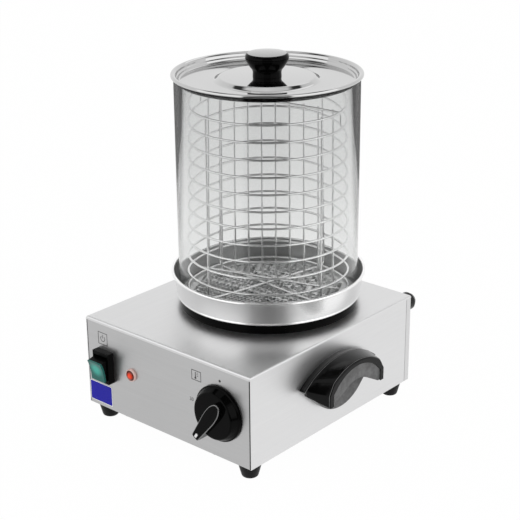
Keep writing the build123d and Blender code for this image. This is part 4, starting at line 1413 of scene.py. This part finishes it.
@dataclass
class Lid:
    """The pressed lid with its mushroom knob."""

    datum: Datum
    bead_h: float = 3.2
    bead_in: float = 4.0
    wall_top: float = 97.4
    wall_low: float = 94.8
    drop: float = 8.6
    sheet: float = 1.0
    boss_low: float = 56.2
    boss_top: float = 51.0
    boss_h: float = 3.8
    lip_down: float = 2.0
    step_down: float = 4.6
    wall_down: float = 5.5
    waist_r: float = 15.3
    waist_up: float = 6.2
    bowl_r: float = 20.4
    bowl_up: float = 12.0
    lip_r: float = 23.4
    lip_up: float = 18.2
    lip_low: float = 3.6

    def build(self) -> None:
        """Make the shell, the knob and its polished cap."""
        self.shell()
        low, high = box_of("lid_knob")
        self.knob(low.z, high.z)
        self.cap(high.z)
        dress({"lid_screw": ZINC})

    def shell(self) -> None:
        """The pressed sheet: a flat boss, a sunk floor, a stepped wall and a rolled rim."""
        low, high = box_of("lid_shell")
        out, top, up = (high.x - low.x) / 2, high.z, self.sheet
        rim = top - self.bead_h
        floor = top - self.drop - self.sheet
        boss = floor + up + self.boss_h
        under = [(0, boss - up, 0), (self.boss_top, boss - up, 0.5), (self.boss_low, floor, 0.8),
                 (self.wall_low + up, floor, 1.2), (self.wall_top + up, rim, 0.6), (out, rim, 0.5)]
        over = [(out, top, 1.9), (out - self.bead_in, top, 1.7), (self.wall_top, top - self.lip_down, 0.6),
                (self.wall_top - 0.4, top - self.step_down, 0.7),
                (self.wall_low + 0.8, top - self.wall_down, 0.5),
                (self.wall_low, floor + up, 1.8), (self.boss_low + up / 2, floor + up, 1.8),
                (self.boss_top + up / 2, boss, 1.2), (0, boss, 0)]
        polish = TurnedMetal("lid_polish", self.datum.axis, 0.55, 0.05, 0.05, pitch=0.8)
        Form().lathe(under + over, LARGE, self.datum.axis, 5, False).piece(
            "pressed_lid", Body.LID, Slot.POLISHED, polish, ["lid_shell"])

    def knob(self, low: float, high: float) -> None:
        """The waisted knob under its cap.

        Args:
            low: The height of its foot.
            high: The height of its top.
        """
        section = [(0, low, 0), (self.waist_r + 0.3, low, 0.3), (self.waist_r, low + self.waist_up, 2.6),
                   (self.bowl_r, low + self.bowl_up, 4.6), (self.lip_r, low + self.lip_up, 2.0),
                   (self.lip_r, high - self.lip_low, 1.2), (self.lip_r - 1.6, high - 1.4, 0.8),
                   (self.lip_r - 3.2, high - 1.2, 0.4), (0, high - 0.9, 0)]
        Form().lathe(section, MIDDLE, self.datum.axis, 6, False).piece(
            "mushroom_knob", Body.LID, Slot.GLOSS, GLOSS_BLACK, ["lid_knob"])

    def cap(self, high: float) -> None:
        """The knob's low domed cap.

        Args:
            high: The height of its top.
        """
        section = [(0, high - 1.2, 0), (self.lip_r - 3.4, high - 1.5, 0.3),
                   (self.lip_r - 2.2, high - 0.9, 0.4), (self.lip_r * 0.6, high - 0.25, 6.0), (0, high, 0)]
        Form().lathe(section, MIDDLE, self.datum.axis, 6, False).piece(
            "knob_cap", Body.LID, Slot.GLOSS, CAP_BLACK, ["lid_knob"])


@dataclass
class Basket:
    """The welded wire basket: level rings, two bent uprights and the flat divider."""

    datum: Datum
    wire_r: float = 1.25
    sides: int = 8
    smooth: float = 60.0
    ring_r: float = 87.0
    rings: int = 12
    turn: float = -8.0
    bend: float = 6.0
    divider_turn: float = 22.5
    divider_low: float = 7.4
    divider_pitch: float = 17.0
    divider_wires: int = 10
    divider_bend: float = 3.0
    leg: float = 13.0
    weld: float = 0.2

    def build(self) -> None:
        """Make the rings, the uprights and the divider."""
        near, far = box_of("basket_rings")
        low, high = near.z + self.wire_r, far.z - self.wire_r
        self.ring_stack(low, high)
        self.uprights(low, high)
        self.divider(low + self.divider_low, high - 2 * self.wire_r + self.weld)

    def lay(self, degrees: float) -> Matrix:
        """The basket's axis, turned by its own turn and by some degrees more."""
        return shifted(0, self.datum.axis_y, 0) @ turned_about("Z", self.turn + degrees)

    def ring_stack(self, low: float, high: float) -> None:
        """Twelve round rings, each butt-welded.

        Args:
            low: The height of the lowest ring's wire.
            high: The height of the highest one's.
        """
        form = Form()
        form.circle(self.wire_r, self.sides, shifted(self.ring_r, 0, 0) @ turned_about("X", 90))
        form.spin(list(form.bm.verts) + list(form.bm.edges), TURN, MIDDLE, merge=True)
        pitch = (high - low) / (self.rings - 1)
        form.copies(shifted(0, self.datum.axis_y, low + k * pitch) for k in range(self.rings))
        form.piece("wire_rings", Body.BASKET, Slot.CHROME, CHROME, ["basket_rings"], self.smooth)

    def uprights(self, low: float, high: float) -> None:
        """Two bent wires that cross under the basket, one over the other.

        Args:
            low: The height of the lower wire under the basket.
            high: The height of the highest ring's wire.
        """
        reach = self.ring_r - 2 * self.wire_r + self.weld
        top = high + self.wire_r
        form = Form()
        for turn, z in ((0, low), (90, low + 2 * self.wire_r)):
            start = self.lay(turn) @ shifted(-reach, 0, top) @ turned_about("Y", 180) @ turned_about("Z", 180)
            side, corner = Move(length=top - z - self.bend), Move(turn=90, radius=self.bend)
            floor = Move(length=2 * (reach - self.bend))
            form.wire(self.wire_r, self.sides, [side, corner, floor, corner, side], start)
        form.piece("wire_uprights", Body.BASKET, Slot.CHROME, CHROME, ["basket_uprights"], self.smooth)

    def divider(self, low: float, high: float) -> None:
        """Two bars, the upper one with turned-down ends, and ten wires welded to one side of them.

        Args:
            low: The height of the lower bar.
            high: The height of the upper bar.
        """
        inside = self.ring_r - 2 * self.wire_r
        reach = self.ring_r - self.wire_r
        lay = self.lay(self.divider_turn)
        form = Form()
        form.wire(self.wire_r, self.sides, [Move(length=2 * inside)],
                  lay @ shifted(-inside, 0, low) @ turned_about("Y", 90))
        leg, corner = Move(length=self.leg - self.divider_bend), Move(turn=90, radius=self.divider_bend)
        form.wire(self.wire_r, self.sides,
                  [leg, corner, Move(length=2 * (reach - self.divider_bend)), corner, leg],
                  lay @ shifted(-reach, 0, high - self.leg))
        for k in range(self.divider_wires):
            x = (k - (self.divider_wires - 1) / 2) * self.divider_pitch
            form.wire(self.wire_r, self.sides, [Move(length=high - low + 2 * self.wire_r)],
                      lay @ shifted(x, 2 * self.wire_r - self.weld, low - self.wire_r))
        form.piece("wire_divider", Body.BASKET, Slot.CHROME, CHROME, ["basket_divider"], self.smooth)


@dataclass
class Thermostat:
    """The control knob with its pointer mark, and what it drives behind the panel."""

    datum: Datum
    x: float = 77.8
    drop: float = 53.0
    rim_r: float = 30.9
    face_r: float = 25.6
    rim_h: float = 3.0
    face_h: float = 11.0
    gap: float = 0.6
    rest: float = 215.0
    grip_low: float = 2.4
    grip_h: float = 17.0
    grip_edge: float = 0.9
    tip_r: float = 35.6
    tail_r: float = 22.0
    wide: float = 16.4
    tip_w: float = 9.6
    flank: Span = (0.92, 0.62)
    tail_w: float = 0.35
    skirt_in: float = 1.6
    skirt_rise: float = 0.6
    mark_w: float = 2.8
    mark_ends: Span = (7.4, 2.0)
    mark_sunk: float = 0.4
    mark_proud: float = 0.12
    smooth: float = 50.0

    def build(self) -> None:
        """Make the knob and its pointer mark, and dress what it drives."""
        place = self.datum.front @ shifted(self.x, -self.drop, 0) @ turned_about("Z", -self.rest)
        self.knob(place)
        self.mark(place)
        dress({"thermostat_shaft": ZINC, "thermostat_body": CERAMIC, "thermostat_screws": ZINC})

    def knob(self, place: Matrix) -> None:
        """The round skirt and the pointer grip on it, with polished edges.

        Args:
            place: The knob's place on the panel, Y along its pointer.
        """
        form = Form().lathe([(0, self.gap, 0), (self.rim_r, self.gap, 0.4), (self.rim_r, self.rim_h, 0.8),
                             (self.rim_r - self.skirt_in, self.rim_h + self.skirt_rise, 0.6),
                             (self.face_r, self.face_h, 1.4), (0, self.face_h, 0)], MIDDLE, closed=False)
        half, tip, tail = self.wide / 2, self.tip_w / 2, self.tail_r
        left = [(-tip, self.tip_r, 1.8), (-half, 0, 4.0), (-half * self.flank[0], -tail * self.flank[1], 5.0),
                (-half * self.tail_w, -tail, 3.0)]
        outline = left[1:] + [(-x, y, rounding) for x, y, rounding in reversed(left)] + left[:1]
        top = form.slab(outline, self.grip_low, self.grip_h, 4)
        faces = {f for v in top for f in v.link_faces if all(w in top for w in f.verts)}
        for face in form.round_edges({e for f in faces for e in f.edges}, self.grip_edge, False):
            face.material_index = 1
        form.move(place).piece("dial_knob", Body.KNOB, Slot.GLOSS, GLOSS_BLACK, ["thermostat_knob"],
                               self.smooth, True).data.materials.append(CAP_BLACK.material())

    def mark(self, place: Matrix) -> None:
        """The white mark at the pointer's tip.

        Args:
            place: The knob's place on the panel, Y along its pointer.
        """
        half = self.mark_w / 2
        near, far = (self.tip_r - end for end in self.mark_ends)
        form = Form()
        form.slab([(-half, near, 1.0), (half, near, 1.0), (half, far, 0.4), (-half, far, 0.4)],
                  self.grip_h - self.mark_sunk, self.grip_h + self.mark_proud, 3)
        form.move(place).piece("pointer_mark", Body.KNOB, Slot.GLOSS, WHITE)


@dataclass
class PrintedMarks:
    """Plain marks on the control panel: a dot, a number, a thermometer and a power sign."""

    datum: Datum
    proud: float = 0.06
    line: float = 0.7
    dot: Point = (79.2, -16.3, 1.5)
    number: tuple[str, float, float, float] = ("30", 38.6, -50.0, 5.8)
    heat: tuple[float, float, float, float] = (46.2, -20.5, 13.5, 11.5)
    power: tuple[float, float, float, float] = (-95.0, -20.5, 14.5, 14.5)
    facets: int = 24
    bulb: Point = (-1.2, -2.8, 1.35)
    stem: tuple[float, float, float, float] = (-1.7, -1.8, -0.7, 3.8)
    tick: tuple[float, float, float, float] = (0.5, -0.6, 2.6, -0.1)
    ticks: int = 3
    tick_pitch: float = 1.9
    sign_r: float = 3.6
    sign_gap: float = 38.0
    sign_steps: int = 36
    stroke: Span = (0.4, 4.6)

    def build(self) -> None:
        """Print every mark: the drawn ones as one thin piece, and the number."""
        form = Form()
        self.disc(form, *self.dot)
        self.frame(form, *self.heat)
        self.thermometer(form, *self.heat[:2])
        self.frame(form, *self.power)
        self.power_sign(form, *self.power[:2])
        form.move(self.datum.front).piece("panel_marks", Body.BASE, Slot.BRUSHED, DARK_INK)
        self.figures(*self.number)

    def bar(self, form: Form, x0: float, y0: float, x1: float, y1: float) -> None:
        """One thin printed bar."""
        form.cube((x0, y0, 0.0), (x1, y1, self.proud))

    def bar_at(self, form: Form, x: float, y: float, corners: Sequence[float]) -> None:
        """One thin printed bar, its corners counted from a point."""
        self.bar(form, *(corner + start for corner, start in zip(corners, (x, y, x, y))))

    def frame(self, form: Form, x: float, y: float, wide: float, tall: float) -> None:
        """A thin square frame.

        Args:
            form: What is printed.
            x: Its middle across.
            y: Its middle in height.
            wide: Its width.
            tall: Its height.
        """
        w, h, t = wide / 2, tall / 2, self.line
        self.bar(form, x - w, y - h, x + w, y - h + t)
        self.bar(form, x - w, y + h - t, x + w, y + h)
        self.bar(form, x - w, y - h + t, x - w + t, y + h - t)
        self.bar(form, x + w - t, y - h + t, x + w, y + h - t)

    def disc(self, form: Form, x: float, y: float, radius: float) -> None:
        """A printed dot.

        Args:
            form: What is printed.
            x: Its middle across.
            y: Its middle in height.
            radius: Its radius.
        """
        made = bmesh.ops.create_cone(form.bm, cap_ends=True, segments=self.facets, radius1=radius,
                                     radius2=radius, depth=self.proud)["verts"]
        form.move(shifted(x, y, self.proud / 2), made)

    def thermometer(self, form: Form, x: float, y: float) -> None:
        """A bulb with its stem and ticks beside it.

        Args:
            form: What is printed.
            x: The sign's middle across.
            y: Its middle in height.
        """
        across, up, radius = self.bulb
        self.disc(form, x + across, y + up, radius)
        self.bar_at(form, x, y, self.stem)
        for k in range(self.ticks):
            self.bar_at(form, x, y + self.tick_pitch * k, self.tick)

    def power_sign(self, form: Form, x: float, y: float) -> None:
        """An open ring with an upright stroke in its gap.

        Args:
            form: What is printed.
            x: The sign's middle across.
            y: Its middle in height.
        """
        before = set(form.bm.verts)
        inner = self.sign_r - self.line
        section = form.chain([(inner, 0, 0, 0), (self.sign_r, 0, 0, 0), (self.sign_r, 0, self.proud, 0),
                              (inner, 0, self.proud, 0)])
        swept = form.spin(section, math.radians(360 - 2 * self.sign_gap), self.sign_steps)
        for end in (section, swept):
            bmesh.ops.contextual_create(form.bm, geom=edges_in(end))
        form.move(shifted(x, y, 0) @ turned_about("Z", 90 + self.sign_gap),
                  [v for v in form.bm.verts if v not in before])
        low, high = self.stroke
        self.bar(form, x - self.line / 2, y + low, x + self.line / 2, y + high)

    def figures(self, text: str, x: float, y: float, size: float) -> None:
        """The plain number beside the knob.

        Args:
            text: Its figures.
            x: Its middle across.
            y: Its middle in height.
            size: Its height.
        """
        curve = bpy.data.curves.new("dial_figure", "FONT")
        curve.body, curve.size, curve.align_x, curve.align_y = text, size, "CENTER", "CENTER"
        curve.extrude = self.proud / 2
        flat = show("dial_figure_curve", curve)
        bpy.context.view_layer.update()
        solid = flat.evaluated_get(bpy.context.evaluated_depsgraph_get())
        form = Form()
        form.bm.from_mesh(bpy.data.meshes.new_from_object(solid))
        bpy.data.objects.remove(flat)
        bpy.data.curves.remove(curve)
        form.move(self.datum.front @ shifted(x, y, self.proud / 2)).piece(
            "dial_figure", Body.BASE, Slot.BRUSHED, DARK_INK)


@dataclass
class Controls:
    """The rocker switch and the indicator lamp."""

    datum: Datum
    switch_x: float = -91.4
    switch_drop: float = 51.0
    switch_lamp_out: float = 14.0
    switch_tints: tuple[Point, Point] = ((0.02, 0.34, 0.27), (0.004, 0.10, 0.085))
    switch_glow: float = 0.14
    switch_reach: float = 11.0
    lamp_x: float = -51.0
    lamp_drop: float = 50.5
    lamp_off: float = 0.6
    lamp_flange: float = 7.2
    lamp_dome: float = 6.0
    lamp_rise: float = 2.8
    lamp_h: float = 4.4
    lamp_seat: float = 4.6
    lamp_sunk: float = 1.2
    lamp_gap: float = 0.02
    lamp_tints: tuple[Point, Point] = ((0.80, 0.045, 0.006), (0.060, 0.006, 0.003))
    lamp_glow: float = 0.18
    lamp_reach: float = 5.4

    def build(self) -> None:
        """Dress the switch, whose shapes stay the frame's own, and make the lamp."""
        centre = (self.switch_x, self.datum.front_y - self.switch_lamp_out,
                  self.datum.top_z - self.switch_drop)
        near, deep = self.switch_tints
        lens = Lens("switch_lens", near, self.switch_glow, deep, centre, self.switch_reach)
        dress({"switch_housing": SWITCH_BLACK, "switch_rocker": SWITCH_BLACK, "rocker_lens": lens,
               "lamp_holder": GREY})
        self.lamp()

    def lamp(self) -> None:
        """A pale collar round a red dome."""
        place = self.datum.front @ shifted(self.lamp_x, -self.lamp_drop, 0)
        dome, flange, rise, high = self.lamp_dome, self.lamp_flange, self.lamp_rise, self.lamp_h
        Form().lathe([(dome, 0, 0), (flange, 0, 0.2), (flange - 0.3, rise, 0.5), (dome, rise, 0.3)],
                     SMALL).move(place).piece("lamp_collar", Body.BASE, Slot.RED, COLLAR, ["lamp_lens"])
        centre = (self.lamp_x + self.lamp_off, self.datum.front_y - high, self.datum.top_z - self.lamp_drop)
        near, deep = self.lamp_tints
        red = Lens("lamp_glow", near, self.lamp_glow, deep, centre, self.lamp_reach)
        rim, sunk = dome - self.lamp_gap, -self.lamp_sunk
        Form().lathe([(0, sunk, 0), (self.lamp_seat, sunk, 0.2), (rim, 0.2, 0.1), (rim, rise - 0.5, 0.5),
                      (rim * 0.55, high, 1.8), (0, high, 0)], SMALL, closed=False).move(place).piece(
            "lamp_dome", Body.BASE, Slot.RED, red, ["lamp_lens"])


@dataclass(frozen=True)
class SoftLamp:
    """A soft rectangular light that stands round the object and faces it.

    The bearing counts in degrees to the right of the studio's front, the rise in degrees up, and
    the distance and the size in metres.
    """

    name: str
    bearing: float
    rise: float
    far: float
    size: Span
    power: float

    def build(self, aim: Vector, near: Vector, side: Vector) -> None:
        """Set the light.

        Args:
            aim: Where it points.
            near: The level direction to the studio's front.
            side: The level direction to its right.
        """
        bearing, rise = math.radians(self.bearing), math.radians(self.rise)
        flat = (near * math.cos(bearing) + side * math.sin(bearing)) * math.cos(rise)
        data = bpy.data.lights.new(self.name, "AREA")
        data.shape, data.energy = "RECTANGLE", self.power
        data.size, data.size_y = self.size
        made = show(self.name, data)
        made.location = aim + Vector((flat.x, flat.y, math.sin(rise))) * self.far
        made.rotation_mode = "QUATERNION"
        made.rotation_quaternion = (aim - made.location).to_track_quat("-Z", "Y")
        made.visible_camera = False


@dataclass
class Studio:
    """Floor, lights, surroundings and camera, in metres.

    The camera stands at `eye` and looks against `back`. What metal mirrors is graded by bearing
    (`around`, counted from the studio's front) and by height (`overhead`), both in degrees.
    """

    datum: Datum
    eye: Point = (0.92485, -1.03710, 0.72043)
    right: Point = (0.75389, 0.65696, -0.00784)
    up: Point = (-0.23382, 0.27944, 0.93126)
    back: Point = (0.61399, -0.70023, 0.36427)
    lens: float = 93.73
    sensor: float = 36.0
    clip: Span = (0.05, 50.0)
    floor_r: float = 6.0
    floor_sides: int = 64
    floor_seen: float = 0.985
    floor_grey: float = 0.9
    floor_dark: Span = (0.30, 0.45)
    around: tuple[Span, ...] = (
        (-180, 1.0), (-100, 0.92), (-70, 0.92), (-45, 1.0), (-30, 1.0), (-26.5, 0.03), (26.5, 0.03),
        (30, 1.0), (90, 1.0), (120, 0.85), (180, 1.0))
    overhead: tuple[Span, ...] = (
        (-90, 1.0), (40, 1.0), (48, 0.9), (51, 0.05), (60, 0.05), (66, 1.0), (90, 1.0))
    lit_from: Span = (0.07, 0.17)
    lit_to: Span = (0.45, 0.53)
    lit: float = 0.8
    near_left: float = 0.85
    near_reach: Span = (0.6, 0.8)
    near_blend: Span = (-0.05, 0.05)
    ambient: float = 0.85
    aim_z: float = 0.2
    lamps: tuple[SoftLamp, ...] = (
        SoftLamp("key", 58.0, 17.0, 1.35, (1.5, 1.1), 2.6),
        SoftLamp("fill", -58.0, 17.0, 1.35, (1.5, 1.1), 2.2),
        SoftLamp("rim", 165.0, 50.0, 2.4, (1.3, 1.3), 2.0))

    def build(self) -> None:
        """Set the whole studio."""
        bpy.context.scene.view_settings.view_transform = "Standard"
        self.camera()
        self.floor()
        self.world()
        aim = Vector((0, self.datum.axis_y * MM, self.aim_z))
        for lamp in self.lamps:
            lamp.build(aim, self.near, self.side)

    @property
    def near(self) -> Vector:
        """The level direction to the studio's front."""
        return Vector(self.back[:2]).normalized()

    @property
    def side(self) -> Vector:
        """The level direction to the studio's right."""
        return Vector(self.right[:2]).normalized()

    def camera(self) -> None:
        """The camera at the photograph's place."""
        data = bpy.data.cameras.new("camera")
        data.lens, data.sensor_width, data.sensor_fit = self.lens, self.sensor, "HORIZONTAL"
        data.clip_start, data.clip_end = self.clip
        made = show("camera", data)
        columns = [self.right, self.up, self.back, self.eye]
        made.matrix_world = Matrix([[c[i] for c in columns] for i in range(3)] + [[0, 0, 0, 1]])
        bpy.context.scene.camera = made

    def paths(self, net: Net) -> tuple[Value, Value]:
        """Tell which rays look at the studio.

        Args:
            net: The nodes.

        Returns:
            Whether the ray is seen by the eye, through glass or in a mirror, and whether it was mirrored.
        """
        path = net.node("ShaderNodeLightPath", out="Is Camera Ray").socket.node
        eye, glossy, through, depth, diffuse = (Value(net, path.outputs[name]) for name in (
            "Is Camera Ray", "Is Glossy Ray", "Is Transmission Ray", "Glossy Depth", "Diffuse Depth"))
        seen = eye.larger(glossy).larger(through) * diffuse.math("LESS_THAN", 0.5)
        return seen, depth.math("GREATER_THAN", 0.5)

    def plan(self, net: Net, x: Value, y: Value) -> tuple[Value, Value, Value]:
        """Read a place or a direction as the studio's front faces it.

        Args:
            net: The nodes.
            x: Its part along X.
            y: Its part along Y.

        Returns:
            How far it lies to the right and to the front, and the level that metal mirrors at its bearing.
        """
        across, toward = (x * way.x + y * way.y for way in (self.side, self.near))
        bearing = across.math("ARCTAN2", toward) / TURN + 0.5
        return across, toward, net.graph(bearing, [((a + 180) / 360, level) for a, level in self.around])

    def floor(self) -> None:
        """A pale floor that is white to the eye and keeps the object's shadow."""
        mesh = bpy.data.meshes.new("floor")
        bm = bmesh.new()
        bmesh.ops.create_circle(bm, cap_ends=True, segments=self.floor_sides, radius=self.floor_r)
        bm.to_mesh(mesh)
        bm.free()
        made = show("floor", mesh)
        net = Net("floor_paper")
        seen, mirrored = self.paths(net)
        x, y, _ = net.split(net.node("ShaderNodeTexCoord", out="Object"))
        across, toward, ring = self.plan(net, x, y)
        close = 1 - net.ramp(norm(x, y), *self.near_reach)
        near = 1 - (1 - net.ramp(across, *self.near_blend)) * close * (1 - self.near_left)
        away = net.ramp(toward, *self.floor_dark)
        level = near * (1 - away) + ring * away
        paper = net.node("ShaderNodeBsdfDiffuse", {"Color": tone(self.floor_grey)})
        glow = net.node("ShaderNodeEmission", {"Color": tone(1.0), "Strength": 1 - mirrored * (1 - level)})
        both = net.node("ShaderNodeMixShader", {0: seen * self.floor_seen, 1: paper, 2: glow})
        mesh.materials.append(net.surface(both))

    def world(self) -> None:
        """Plain soft surroundings: white to the eye, graded for what metal mirrors."""
        world = bpy.data.worlds.new("studio")
        world.use_nodes = True
        bpy.context.scene.world = world
        net = Net.of_tree(world.node_tree)
        seen, mirrored = self.paths(net)
        x, y, z = net.split(net.node("ShaderNodeTexCoord", out="Generated"))
        *_, ring = self.plan(net, x, y)
        ceiling = net.graph(z.math("ARCSINE") / math.pi + 0.5,
                            [((e + 90) / 180, level) for e, level in self.overhead])
        band = net.ramp(z, *self.lit_from) * (1 - net.ramp(z, *self.lit_to))
        shown = 1 - mirrored * (1 - (ring + (1 - ring) * band * self.lit) * ceiling)
        light = net.node("ShaderNodeBackground", {
            "Color": tone(1.0), "Strength": seen * shown + (1 - seen) * self.ambient})
        net.node("ShaderNodeOutputWorld", {"Surface": light})


def main() -> None:
    """Build the object on its frame and the studio round it."""
    logging.basicConfig(level=logging.INFO, format="%(name)s: %(message)s", stream=sys.stdout)
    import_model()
    datum = Datum.read()
    for part in (Housing(datum), WaterBath(datum), GlassTube(datum), Lid(datum), Basket(datum),
                 Thermostat(datum), Controls(datum), PrintedMarks(datum), CarryingHandles(),
                 Fasteners(datum)):
        part.build()
    dress({"cable_gland": SATIN_BLACK, "terminal_block": GREY})
    Studio(datum).build()


if __name__ == "__main__":
    main()
